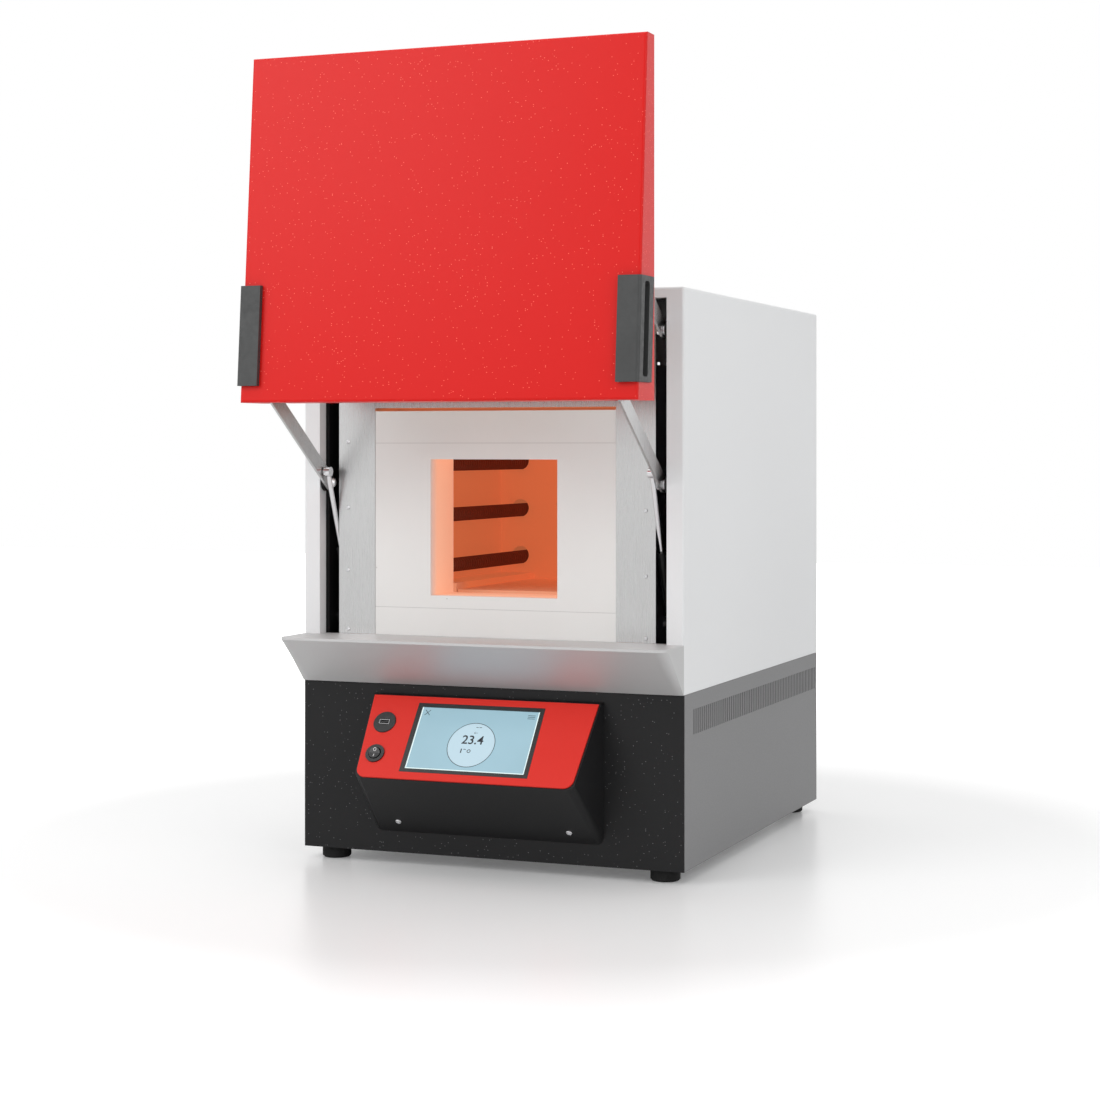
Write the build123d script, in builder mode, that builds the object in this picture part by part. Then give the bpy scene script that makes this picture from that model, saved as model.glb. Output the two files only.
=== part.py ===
from build123d import *
import math
import os

os.makedirs("parts", exist_ok=True)

# A bench-top chamber furnace with an up-and-over door, modelled with the door raised.
# X is to the right, Y to the back, Z up, and Z = 0 is the bench.
# The origin lies on the bench below the middle of the furnace's outline, door included.

# Driving sizes, in millimetres
body_width = 500
body_depth = 602
foot_height = 15
foot_diameter = 36
base_height = 208
case_height = 480
sheet = 1.5
front_sheet = 2
corner_radius = 3
pan_edge = 18
foot_inset_x = 32
foot_inset_y = 27
foot_chamfer = 2

# Clearances, in millimetres
seat_gap = 0.2
moving_gap = 0.3
pivot_clearance = 0.05
open_pivot_clearance = 0.3

# Front of the case: flanges, door slots and face plates
side_slot_inset = 21.5
side_slot_width = 19
lip_depth = 17
face_depth = 16
face_sheet = 1.2
top_flange = 12
face_plate_width = 50
refractory_rise = 336
screw_inset = 12.5
screw_rises = (272, 346, 424, 506)
screw_head = 5.2
screw_proud = 1.4
lintel_gap = 4

# Sill under the door
sill_reach = 70
sill_rise = 58.5
sill_edge = 3
sill_corner = 12.5
sill_foot = 3
sill_foot_bend = 1.5
sill_wall = 2

# Chamber and its insulation
opening_width = 168
opening_height = 168
opening_rise = 108.5
throat_length = 69.5
chamber_half_width = 128
chamber_depth = 260
chamber_top_rise = 300
tile_thickness = 8
tile_step = 3.5
tile_half_width = 79.7
kerb_rise = 8
insulation_margin = 14.5
floor_insulation = 77
roof_insulation = 89
back_board_thickness = 90
shell_hole_margin = 3
rail_inset = 20
rail_width = 40
rail_sheet = 2
tile_play = 1
tile_corner = 3

# Heating elements
element_diameter = 18
element_hole = 24
element_spacing = 64.5
element_half_pitch = 99
element_first_rise = 29
element_socket = 14
element_tail = 54
elements_per_side = 3
element_play = 2
element_chamfer = 1.5
clamp_setback = 20
clamp_length = 16
clamp_wall = 4
strap_sheet = 2

# Flue and thermocouple
flue_outer = 33
flue_bore = 25
flue_setback = 18
flue_rise = 43
collar_width = 12
collar_sheet = 2
collar_neck = 3
collar_height = 8
probe_diameter = 8
probe_reach = 30
probe_drop = 40
probe_head = 30
probe_head_length = 22

# Door linkage
pivot_depth = 12
lower_pivot_rise = 247
pivot_headroom = 50
arm_length = 180
arm_width = 20
arm_thickness = 3
arm_inset = 8.5
open_angle = 35.3
closed_angle = -72.7
pivot_diameter = 8
pivot_head = 13
nut_thickness = 6
nut_dome = 2
ear_margin = 4
bracket_sheet = 3
bracket_flange = 25
post_depth = 56
post_headroom = 25

# Gas struts
strut_inset = 3.5
strut_crank = 24
anchor_depth = 60
anchor_rise = 77
strut_tube = 13
strut_bore = 10
strut_rod = 6
strut_tube_length = 82
strut_eye = 12
strut_neck = 14
strut_end = 4
strut_gland = 5
strut_eye_half = 4
stud_head = 3
piston_length = 6
piston_margin = 4

# Door
door_trim = 67
door_depth_low = 57
door_depth_high = 25
door_flange = 14
door_pin_rise = 7
door_pin_setback = 27.6
notch_margin = 3
pad_border = 36
pad_overlap = 24
pad_chamfer = 3
closed_gap = 0.5
back_panel_margin = 3

# Handles
handle_inset = 25
handle_overhang = 2.5
handle_proud = 6
handle_low = 20
handle_length = 119
handle_depth = 45
grip_width = 16
grip_length = 107
grip_depth = 20
handle_fillet = 4

# Console
hatch_half_width = 110
hatch_low = 60
hatch_high = 150
console_half_width = 150
console_taper = 9
console_brow = 194
console_rim = 2
console_foot = 26
console_reach = 80
console_lip = 8
console_nose = 102
console_wall = 3
console_corner = 9
console_screw_x = 112
console_screw_run = 22
console_screw_head = 8
console_screw_proud = 1.6
facia_thickness = 2
facia_corner = 12
facia_inset = 2
facia_margin = 1
screen_thickness = 1
screen_recess = 1.2
screen_width = 154
screen_height = 86
bezel_border_x = 5.75
bezel_border_y = 5
bezel_left = -84
bezel_drop = 10
button_column = -122
usb_drop = 39.6
usb_diameter = 29
socket_body = 22
socket_length = 18
port_rim = 1.5
port_chamfer = 0.6
slot_width = 13.2
slot_height = 5.8
slot_depth = 12
tongue_width = 11.5
tongue_height = 2
switch_drop = 83.7
switch_diameter = 24
switch_body = 20
switch_rim = 1.8
switch_length = 16
rocker_well = 9
rocker_bore = 16
rocker_diameter = 14
rocker_tilt = 8
rocker_lift = 0.5
rocker_root = 4
rocker_horn = 3.4
rocker_dip = 1
trunnion_diameter = 2
trunnion_reach = 1

# Base vents, fan and gland
vent_length = 30
vent_width = 3.5
vent_pitch = 8
vent_first = 38
vent_last = 595
vent_top = 20
rear_slots = 21
rear_slot_rise = 90
rear_slot_pitch = 14
rear_slot_width = 4
rear_slot_height = 50
guard_rings = 4
guard_margin = 2
guard_bar_width = 3.5
fan_inset = 120
fan_lift = 104
fan_size = 119
fan_depth = 38
fan_bore = 112
fan_hub = 44
fan_blades = 7
fan_corner = 5
fan_hole = 4.4
fan_hole_pitch = 105
fan_spoke = 5
fan_web = 4
fan_spindle = 8
rotor_length = 26
blade_pitch = 50
blade_sheet = 2
blade_root = 2
blade_clearance = 1
gland_inset = 100
gland_lift = 50
gland_length = 14
gland_hex = 6
gland_nut = 4
gland_cap = 18
gland_chamfer = 2
gland_diameter = 22
gland_thread = 16
gland_tail = 8
gland_bore = 9

# Controller board, power unit and transformer inside the base
board_width = 180
board_length = 110
board_sheet = 1.6
board_setback = 110
pillar_height = 12
pillar_diameter = 7
pillar_inset = 6
chip_height = 9
capacitor_diameter = 12
capacitor_height = 18
sink_inset = 120
sink_setback = 300
sink_width = 120
sink_length = 150
sink_plate = 10
fin_sheet = 3
fin_pitch = 12
fin_count = 10
fin_height = 32
drive_height = 30
core_inset = 130
core_setback = 330
core_width = 150
core_length = 70
core_height = 130
core_limb = 25
winding_wall = 11

# Heights above the bench that follow from these
half_width = body_width / 2
base_top = foot_height + base_height
body_top = base_top + case_height
sill_top = base_top + sill_rise
face_top_z = body_top - top_flange
refractory_top = base_top + refractory_rise
lintel_low = refractory_top + lintel_gap
pan_half = half_width - sheet - seat_gap
rear_inner = body_depth - sheet
opening_low = base_top + opening_rise
opening_top = opening_low + opening_height
tile_top = opening_low + tile_step
floor_z = tile_top - tile_thickness
chamber_top = base_top + chamber_top_rise
insulation_low = floor_z - floor_insulation
insulation_top = chamber_top + roof_insulation

# Places across the width that follow from these
slot_outer = half_width - side_slot_inset
slot_inner = slot_outer - side_slot_width
refractory_half_width = slot_inner - face_plate_width
screw_column = slot_inner - screw_inset
insulation_half = slot_inner - insulation_margin
arm_plane = slot_outer - arm_inset
strut_plane = slot_inner + strut_inset
pad_half_width = opening_width / 2 + pad_border
door_width = body_width
handle_inner = door_width / 2 - handle_inset
handle_outer = door_width / 2 + handle_overhang
fan_x = fan_inset - half_width
gland_x = half_width - gland_inset
sink_x = half_width - sink_inset
core_x = core_inset - half_width

# Depths behind the case front that follow from these
board_front = face_depth + 0.5
chamber_front = board_front + throat_length
chamber_back = chamber_front + chamber_depth
insulation_back = chamber_back + back_board_thickness

# Linkage points as depth behind the case front and height above the bench
lower_pivot = (pivot_depth, base_top + lower_pivot_rise)
upper_pivot = (pivot_depth, body_top - pivot_headroom)
arm_out = arm_length * math.cos(math.radians(open_angle))
arm_up = arm_length * math.sin(math.radians(open_angle))
lower_pin = (lower_pivot[0] - arm_out, lower_pivot[1] + arm_up)
upper_pin = (upper_pivot[0] - arm_out, upper_pivot[1] + arm_up)
closed_out = arm_length * math.cos(math.radians(closed_angle))
closed_up = arm_length * math.sin(math.radians(closed_angle))
door_travel_out = arm_out - closed_out
door_travel_up = arm_up - closed_up

# Faces of the raised door, which is as wide as the case
door_height = case_height - door_trim
door_low = lower_pin[1] - door_pin_rise
door_top = door_low + door_height
door_rear = lower_pin[0] + door_pin_setback
door_front = door_rear - door_depth_low
door_slope = (door_depth_low - door_depth_high) / door_height
handle_front = door_front - handle_proud + door_slope * handle_low

# Depth of the case front in the part's own frame
case_front = -(handle_front + body_depth + gland_length) / 2
sides = ((-1, "left"), (1, "right"))


def at(depth):
    """The Y of a depth behind the case front."""
    return case_front + depth


def from_front(depth):
    """An upright plane that faces forward, with X and height as its coordinates."""
    return Plane.XZ.offset(-at(depth))


def from_side(x):
    """An upright plane that faces right, with Y and height as its coordinates."""
    return Plane.YZ.offset(x)


def panel(low_a, high_a, low_b, high_b, mode=Mode.ADD):
    """A rectangle between two pairs of limits in the sketch being drawn."""
    with Locations(((low_a + high_a) / 2, (low_b + high_b) / 2)):
        Rectangle(high_a - low_a, high_b - low_b, mode=mode)


def outline(*points):
    """A closed straight-sided outline in the line being drawn."""
    Polyline(*points, close=True)


# Base pan with turned-up edges
with BuildPart() as base_pan:
    with BuildSketch(Plane.XY.offset(foot_height)):
        panel(-pan_half, pan_half, at(front_sheet + seat_gap), at(rear_inner - seat_gap))
    extrude(amount=pan_edge)
    offset(amount=-sheet, openings=base_pan.faces().sort_by(Axis.Z)[-1])
base_pan.part.label = "base_pan"
export_step(base_pan.part, "parts/base_pan.step")

# Base front panel with the opening behind the console
with BuildPart() as base_front:
    with BuildSketch(from_front(0)):
        panel(-half_width, half_width, foot_height, base_top - seat_gap)
        panel(-hatch_half_width, hatch_half_width, foot_height + hatch_low,
              foot_height + hatch_high, mode=Mode.SUBTRACT)
    extrude(amount=-front_sheet)
    fillet(base_front.edges().filter_by(Axis.Z).group_by(Axis.Y)[0].filter_by(
        lambda e: abs(e.center().X) > half_width - sheet), sheet)
base_front.part.label = "base_front"
export_step(base_front.part, "parts/base_front.step")

# Base sides with their row of vents
vent_count = int((vent_last - vent_first) / vent_pitch) + 1
for side, name in sides:
    with BuildPart() as base_side:
        with BuildSketch(from_side(side * (half_width - sheet / 2))):
            panel(at(front_sheet + seat_gap), at(rear_inner - seat_gap),
                  foot_height, base_top - seat_gap)
            with Locations((at(vent_first + vent_pitch * (vent_count - 1) / 2),
                            base_top - vent_top - vent_length / 2)):
                with GridLocations(vent_pitch, 0, vent_count, 1):
                    Rectangle(vent_width, vent_length, mode=Mode.SUBTRACT)
        extrude(amount=sheet / 2, both=True)
    base_side.part.label = f"base_side_{name}"
    export_step(base_side.part, f"parts/base_side_{name}.step")

# Base rear panel with the fan guard and the hole for the gland
fan_z = foot_height + fan_lift
guard_radius = fan_bore / 2 - guard_margin
gland_z = foot_height + gland_lift
with BuildPart() as base_rear:
    with BuildSketch(from_front(rear_inner)):
        panel(-half_width, half_width, foot_height, base_top - seat_gap)
        with Locations((fan_x, fan_z)):
            Circle(guard_radius, mode=Mode.SUBTRACT)
            for ring in range(1, guard_rings):
                Circle(guard_radius * ring / guard_rings)
                Circle(guard_radius * ring / guard_rings - guard_bar_width, mode=Mode.SUBTRACT)
            for angle in (45, 135):
                Rectangle(2 * guard_radius + guard_bar_width, guard_bar_width, rotation=angle)
        with Locations((gland_x, gland_z)):
            Circle(gland_thread / 2 + pivot_clearance, mode=Mode.SUBTRACT)
    extrude(amount=-sheet)
base_rear.part.label = "base_rear"
export_step(base_rear.part, "parts/base_rear.step")

# Four round feet
foot_x = half_width - foot_inset_x
foot_y = (at(foot_inset_y), at(body_depth - foot_inset_y))
with BuildPart() as feet:
    with BuildSketch(Plane.XY):
        with Locations(*[(side * foot_x, y) for side, name in sides for y in foot_y]):
            Circle(foot_diameter / 2)
    extrude(amount=foot_height)
    chamfer(feet.edges().group_by(Axis.Z)[0], foot_chamfer)
feet.part.label = "feet"
export_step(feet.part, "parts/feet.step")

# Deck between the base and the case
with BuildPart() as deck:
    with BuildSketch(Plane.XY.offset(base_top - sheet)):
        panel(-pan_half, pan_half, at(front_sheet + seat_gap), at(rear_inner - seat_gap))
    extrude(amount=sheet)
deck.part.label = "deck"
export_step(deck.part, "parts/deck.step")

# Facia plane: X to the right, Y up the slope, origin at the middle of the top edge
nose_z = foot_height + console_nose
brow_z = foot_height + console_brow
facia_drop = brow_z - nose_z
facia_run = console_reach - console_lip
facia_length = math.hypot(facia_drop, facia_run)
facia_plane = Plane(origin=(0, at(-console_lip), brow_z), x_dir=(1, 0, 0),
                    z_dir=(0, -facia_drop, facia_run))
bezel_width = screen_width + 2 * bezel_border_x
bezel_height = screen_height + 2 * bezel_border_y
bezel_centre = (bezel_left + bezel_width / 2, -bezel_drop - bezel_height / 2)
usb_centre = (button_column, -usb_drop)
switch_centre = (button_column, -switch_drop)


def console_openings(clearance, mode):
    """The openings for the screen, the USB port and the switch, in a sketch on the facia."""
    with Locations(bezel_centre):
        Rectangle(bezel_width + 2 * clearance, bezel_height + 2 * clearance, mode=mode)
    with Locations(usb_centre):
        Circle(socket_body / 2 + clearance, mode=mode)
    with Locations(switch_centre):
        Circle(switch_body / 2 + clearance, mode=mode)


# Console housing, a hollow wedge that narrows towards its nose
with BuildPart() as console_housing:
    with BuildSketch(from_side(-console_half_width)):
        with BuildLine():
            outline((at(0), foot_height + console_foot), (at(0), brow_z + console_rim),
                    (at(-console_lip), brow_z), (at(-console_reach), nose_z))
        make_face()
    extrude(amount=2 * console_half_width)
    with BuildSketch(Plane.XY.offset(foot_height)):
        with BuildLine():
            outline((-console_half_width, at(0)), (console_half_width, at(0)),
                    (console_half_width - console_taper, at(-console_reach)),
                    (-console_half_width + console_taper, at(-console_reach)))
        make_face()
    extrude(amount=base_height, mode=Mode.INTERSECT)
    lower_corners = console_housing.edges().filter_by(
        lambda e: e.center().Z < nose_z - console_wall and abs(e.center().X) > console_half_width / 2
        and e.center().Y < at(-console_wall))
    fillet(lower_corners, console_corner)
    offset(amount=-console_wall, openings=console_housing.faces().sort_by(Axis.Y)[-1])
    with BuildSketch(facia_plane):
        console_openings(seat_gap, Mode.ADD)
    extrude(amount=-2 * console_wall, mode=Mode.SUBTRACT)
console_housing.part.label = "console_housing"
export_step(console_housing.part, "parts/console_housing.step")

# Red facia on the slope of the console
facia_top_half = console_half_width - facia_inset - console_taper * console_lip / console_reach
facia_low_half = console_half_width - facia_inset - console_taper
with BuildPart() as facia:
    with BuildSketch(facia_plane):
        with BuildLine():
            facia_low = facia_margin - facia_length
            outline((-facia_top_half, -facia_margin), (facia_top_half, -facia_margin),
                    (facia_low_half, facia_low), (-facia_low_half, facia_low))
        make_face()
        fillet(vertices().group_by(Axis.Y)[0], facia_corner)
        console_openings(seat_gap, Mode.SUBTRACT)
    extrude(amount=facia_thickness)
facia.part.label = "facia"
export_step(facia.part, "parts/facia.step")

# Black frame that holds the touch screen, and the screen in its recess
with BuildPart() as display_bezel:
    with BuildSketch(facia_plane.offset(-console_wall)):
        with Locations(bezel_centre):
            Rectangle(bezel_width, bezel_height)
    extrude(amount=console_wall + facia_thickness)
    with BuildSketch(facia_plane.offset(facia_thickness)):
        with Locations(bezel_centre):
            Rectangle(screen_width + 2 * seat_gap, screen_height + 2 * seat_gap)
    extrude(amount=-screen_recess - screen_thickness, mode=Mode.SUBTRACT)
display_bezel.part.label = "display_bezel"
export_step(display_bezel.part, "parts/display_bezel.step")

with BuildPart() as display_screen:
    with BuildSketch(facia_plane.offset(facia_thickness - screen_recess)):
        with Locations(bezel_centre):
            Rectangle(screen_width, screen_height)
    extrude(amount=-screen_thickness)
display_screen.part.label = "display_screen"
export_step(display_screen.part, "parts/display_screen.step")

# USB port in its round housing
with BuildPart() as usb_port:
    with BuildSketch(facia_plane.offset(facia_thickness)):
        with Locations(usb_centre):
            Circle(usb_diameter / 2)
    extrude(amount=port_rim)
    chamfer(usb_port.edges().sort_by(lambda e: -(e.center() - facia_plane.origin).dot(
        facia_plane.z_dir))[0], port_chamfer)
    with BuildSketch(facia_plane.offset(facia_thickness)):
        with Locations(usb_centre):
            Circle(socket_body / 2)
    extrude(amount=-socket_length)
    with BuildSketch(facia_plane.offset(facia_thickness + port_rim)):
        with Locations(usb_centre):
            Rectangle(slot_width, slot_height)
    extrude(amount=-slot_depth, mode=Mode.SUBTRACT)
    with BuildSketch(facia_plane.offset(facia_thickness + port_rim - slot_depth)):
        with Locations((usb_centre[0], usb_centre[1] + (slot_height - tongue_height) / 2 - 1)):
            Rectangle(tongue_width, tongue_height)
    extrude(amount=slot_depth - port_rim)
usb_port.part.label = "usb_port"
export_step(usb_port.part, "parts/usb_port.step")

# Round housing of the power switch, with bores for the rocker's trunnions
rocker_plane = Plane(origin=facia_plane.from_local_coords(
    (switch_centre[0], switch_centre[1], facia_thickness + rocker_lift)),
    x_dir=facia_plane.x_dir, z_dir=facia_plane.z_dir)
with BuildPart() as switch_housing:
    with BuildSketch(facia_plane.offset(facia_thickness)):
        with Locations(switch_centre):
            Circle(switch_diameter / 2)
    extrude(amount=switch_rim)
    with BuildSketch(facia_plane.offset(facia_thickness)):
        with Locations(switch_centre):
            Circle(switch_body / 2)
    extrude(amount=-switch_length)
    with BuildSketch(facia_plane.offset(facia_thickness + switch_rim)):
        with Locations(switch_centre):
            Circle(rocker_bore / 2)
    extrude(amount=-rocker_well, mode=Mode.SUBTRACT)
    with BuildSketch(Plane(origin=rocker_plane.origin, x_dir=rocker_plane.y_dir,
                           z_dir=rocker_plane.x_dir)):
        Circle(trunnion_diameter / 2 + pivot_clearance)
    extrude(amount=rocker_bore / 2 + trunnion_reach + seat_gap, both=True, mode=Mode.SUBTRACT)
switch_housing.part.label = "switch_housing"
export_step(switch_housing.part, "parts/switch_housing.step")

# Rocker of the power switch, tipped to its first position
tipped = rocker_plane.rotated((rocker_tilt, 0, 0))
with BuildPart() as power_rocker:
    with BuildSketch(tipped.offset(-rocker_root)):
        Circle(rocker_diameter / 2)
    extrude(amount=rocker_root + rocker_horn)
    with BuildSketch(Plane(origin=tipped.origin - tipped.x_dir * rocker_bore / 2,
                           x_dir=tipped.y_dir, z_dir=tipped.x_dir)):
        with BuildLine():
            outline((-rocker_diameter, rocker_horn + rocker_dip),
                    (-rocker_diameter / 2, rocker_horn), (0, rocker_horn - rocker_dip),
                    (rocker_diameter / 2, rocker_horn),
                    (rocker_diameter, rocker_horn + rocker_dip))
        make_face()
    extrude(amount=rocker_bore, mode=Mode.SUBTRACT)
    with BuildSketch(Plane(origin=tipped.origin, x_dir=tipped.y_dir, z_dir=tipped.x_dir)):
        Circle(trunnion_diameter / 2)
    extrude(amount=rocker_bore / 2 + trunnion_reach, both=True)
power_rocker.part.label = "power_rocker"
export_step(power_rocker.part, "parts/power_rocker.step")

# Two screws under the console
lower_run = Vector(0, console_reach, foot_height + console_foot - nose_z).normalized()
lower_normal = Vector(0, lower_run.Z, -lower_run.Y)
with BuildPart() as console_screws:
    for side, name in sides:
        spot = (Vector(side * console_screw_x, at(0), foot_height + console_foot)
                - lower_run * console_screw_run)
        with BuildSketch(Plane(origin=spot, x_dir=(1, 0, 0), z_dir=lower_normal)):
            Circle(console_screw_head / 2)
        extrude(amount=console_screw_proud)
        with BuildSketch(Plane(origin=spot + lower_normal * console_screw_proud,
                               x_dir=(1, 0, 0), z_dir=lower_normal)):
            RegularPolygon(console_screw_head / 4, 6)
        extrude(amount=-console_screw_proud / 2, mode=Mode.SUBTRACT)
console_screws.part.label = "console_screws"
export_step(console_screws.part, "parts/console_screws.step")

# Sill: a folded wedge with rounded ends, and a tongue that runs back to the chamber
def sill_outline(height, inset, back):
    """The sill's plan at a height above its foot: it widens from the foot to the upper edge."""
    share = min(height / (sill_rise - sill_edge), 1)
    reach = sill_foot + (sill_reach - sill_foot) * share
    bend = sill_foot_bend + (sill_corner - sill_foot_bend) * share
    edge = half_width - inset
    turn = half_width - sill_corner
    bow = math.sqrt(0.5)
    with BuildLine() as bent:
        Polyline((turn, at(inset - reach)), (-turn, at(inset - reach)))
        for side in (-1, 1):
            ThreePointArc((side * turn, at(inset - reach)),
                          (side * (turn + (edge - turn) * bow),
                           at(inset - reach + bend * (1 - bow))),
                          (side * edge, at(inset - reach + bend)))
        Polyline((-edge, at(inset - reach + bend)), (-edge, at(back)),
                 (edge, at(back)), (edge, at(inset - reach + bend)))
    make_face(bent.edges())


with BuildPart() as sill:
    for height in (0, sill_rise - sill_edge):
        with BuildSketch(Plane.XY.offset(base_top + height)):
            sill_outline(height, 0, -seat_gap)
    loft(ruled=True)
    with BuildSketch(Plane.XY.offset(sill_top - sill_edge)):
        sill_outline(sill_rise, 0, -seat_gap)
    extrude(amount=sill_edge)
    for height in (sill_edge, sill_rise - sill_edge):
        with BuildSketch(Plane.XY.offset(base_top + height)):
            sill_outline(height, sill_wall, seat_gap)
    loft(ruled=True, mode=Mode.SUBTRACT)
    with BuildSketch(Plane.XY.offset(sill_top)):
        panel(-slot_outer + seat_gap, slot_outer - seat_gap,
              at(-2 * seat_gap), at(face_depth - seat_gap))
    extrude(amount=-sheet)
sill.part.label = "sill"
export_step(sill.part, "parts/sill.step")

# White case cover: top, sides and the front flanges beside the door slots
cover_low = base_top + seat_gap
flue_y = at(chamber_back - flue_setback)
with BuildPart() as cover_inside:
    with BuildSketch(from_front(sheet)):
        panel(sheet - half_width, half_width - sheet, cover_low - sheet, body_top - sheet)
    extrude(amount=-body_depth)
    fillet(cover_inside.edges().filter_by(Axis.Y).group_by(Axis.Z)[-1], corner_radius - sheet)

with BuildPart() as case_cover:
    with BuildSketch(from_front(0)):
        panel(-half_width, half_width, cover_low, body_top)
    extrude(amount=-rear_inner)
    fillet(case_cover.edges().filter_by(
        lambda e: (abs(e.center().X) > half_width - sheet and e.center().Z > body_top - sheet)
        or (e.center().Y < at(sheet) and e.center().Z > cover_low + sheet)), corner_radius)
    add(cover_inside.part, mode=Mode.SUBTRACT)
    with BuildSketch(from_front(0)):
        panel(-slot_outer, slot_outer, sill_top - sheet - seat_gap, face_top_z)
    extrude(amount=-2 * sheet, mode=Mode.SUBTRACT)
    with BuildSketch(from_front(sheet)):
        for side, name in sides:
            panel(side * slot_outer, side * (slot_outer + sheet), sill_top, face_top_z + sheet)
        panel(-slot_outer, slot_outer, face_top_z, face_top_z + sheet)
    extrude(amount=-(lip_depth - sheet))
    with BuildSketch(Plane.XY.offset(body_top)):
        with Locations((0, flue_y)):
            Circle(flue_outer / 2 + seat_gap)
    extrude(amount=-2 * sheet, mode=Mode.SUBTRACT)
case_cover.part.label = "case_cover"
export_step(case_cover.part, "parts/case_cover.step")

# Case rear panel with two rows of cooling slots
with BuildPart() as case_rear:
    with BuildSketch(from_front(rear_inner)):
        panel(-half_width, half_width, cover_low, body_top)
        for rise in (rear_slot_rise, case_height - rear_slot_rise):
            with Locations((0, base_top + rise)):
                with GridLocations(rear_slot_pitch, 0, rear_slots, 1):
                    Rectangle(rear_slot_width, rear_slot_height, mode=Mode.SUBTRACT)
    extrude(amount=-sheet)
    fillet(case_rear.edges().filter_by(Axis.Y).group_by(Axis.Z)[-1], corner_radius)
case_rear.part.label = "case_rear"
export_step(case_rear.part, "parts/case_rear.step")

# Posts that carry the door's pivots, with an ear at each pivot
post_plane = arm_plane + arm_thickness / 2 + moving_gap + bracket_sheet
post_front = face_depth + bracket_sheet
post_back = post_front + post_depth
post_top = body_top - post_headroom
ear_radius = pivot_head / 2 + ear_margin
for side, name in sides:
    with BuildPart() as post:
        with BuildSketch(from_side(side * (post_plane + bracket_sheet / 2))):
            panel(at(post_front), at(post_back), base_top, post_top)
            for depth, height in (lower_pivot, upper_pivot):
                with Locations((at(depth), height)):
                    Circle(ear_radius)
                panel(at(depth), at(post_front), height - ear_radius, height + ear_radius)
            for depth, height in (lower_pivot, upper_pivot):
                with Locations((at(depth), height)):
                    Circle(pivot_diameter / 2 + pivot_clearance, mode=Mode.SUBTRACT)
            with Locations((at(anchor_depth), base_top + anchor_rise)):
                Circle(pivot_diameter / 2 + pivot_clearance, mode=Mode.SUBTRACT)
        extrude(amount=bracket_sheet / 2, both=True)
        with BuildSketch(Plane.XY.offset(base_top)):
            for depth in (post_front, post_back - bracket_sheet):
                panel(side * (post_plane + bracket_sheet), side * pan_half,
                      at(depth), at(depth + bracket_sheet))
        extrude(amount=post_top - base_top)
    post.part.label = f"post_{name}"
    export_step(post.part, f"parts/post_{name}.step")

# Polished face plates beside the chamber mouth, with a lintel above it
with BuildPart() as lintel:
    with BuildSketch(from_front(face_depth)):
        panel(seat_gap - refractory_half_width, refractory_half_width - seat_gap,
              lintel_low, face_top_z - seat_gap)
    extrude(amount=-face_sheet)
lintel.part.label = "lintel"
export_step(lintel.part, "parts/lintel.step")

for side, name in sides:
    with BuildPart() as face_plate:
        with BuildSketch(from_front(face_depth)):
            panel(side * refractory_half_width, side * slot_inner,
                  sill_top + seat_gap, face_top_z - seat_gap)
        extrude(amount=-face_sheet)
    face_plate.part.label = f"face_plate_{name}"
    export_step(face_plate.part, f"parts/face_plate_{name}.step")

# Screws through the face plates into the chamber shell
with BuildPart() as face_screws:
    with BuildSketch(from_front(face_depth)):
        for side, name in sides:
            for rise in screw_rises:
                with Locations((side * screw_column, foot_height + rise)):
                    Circle(screw_head / 2)
    extrude(amount=screw_proud)
    fillet(face_screws.edges().group_by(Axis.Y)[0], screw_proud / 2)
face_screws.part.label = "face_screws"
export_step(face_screws.part, "parts/face_screws.step")

# Chamber shell: five plates around the insulation, open at the front, on two rails
shell_half = insulation_half + seat_gap + sheet
shell_low = insulation_low - seat_gap - sheet
shell_top = insulation_top + seat_gap + sheet
shell_front = face_depth + face_sheet
shell_back = insulation_back + seat_gap + sheet
element_rows = [tile_top + element_first_rise + row * element_spacing
                for row in range(elements_per_side)]
element_lift = element_hole / 2 - element_diameter / 2 - moving_gap
element_spots = [(side * element_half_pitch, height)
                 for side, name in sides for height in element_rows]
hole_spots = [(x, height + element_lift) for x, height in element_spots]
probe_spot = (0, chamber_top - probe_drop)
shell_wall_end = shell_back - sheet - seat_gap
rail_top = shell_low - seat_gap
with BuildPart() as chamber_shell:
    with BuildSketch(from_front(shell_front)):
        panel(-shell_half, shell_half, shell_low, shell_low + sheet)
        panel(-shell_half, shell_half, shell_top - sheet, shell_top)
        for side, name in sides:
            panel(side * (shell_half - sheet), side * shell_half,
                  shell_low + sheet + seat_gap, shell_top - sheet - seat_gap)
    extrude(amount=shell_front - shell_wall_end)
    with BuildSketch(from_front(shell_back - sheet)):
        panel(-shell_half, shell_half, shell_low, shell_top)
        with Locations(*hole_spots):
            Circle(element_hole / 2 + shell_hole_margin, mode=Mode.SUBTRACT)
        with Locations(probe_spot):
            Circle(probe_diameter / 2 + seat_gap, mode=Mode.SUBTRACT)
    extrude(amount=-sheet)
    with BuildSketch(Plane.XY.offset(shell_top)):
        with Locations((0, flue_y)):
            Circle(flue_outer / 2 + seat_gap)
    extrude(amount=-2 * sheet, mode=Mode.SUBTRACT)
    with BuildSketch(from_front(shell_front)):
        for side, name in sides:
            rail_inner = shell_half - rail_inset - rail_width
            rail_outer = shell_half - rail_inset
            panel(side * rail_inner, side * rail_outer, base_top, rail_top)
            panel(side * (rail_inner + rail_sheet), side * (rail_outer - rail_sheet),
                  base_top + rail_sheet, rail_top - rail_sheet, mode=Mode.SUBTRACT)
    extrude(amount=shell_front - shell_back)
chamber_shell.part.label = "chamber_shell"
export_step(chamber_shell.part, "parts/chamber_shell.step")

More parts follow.
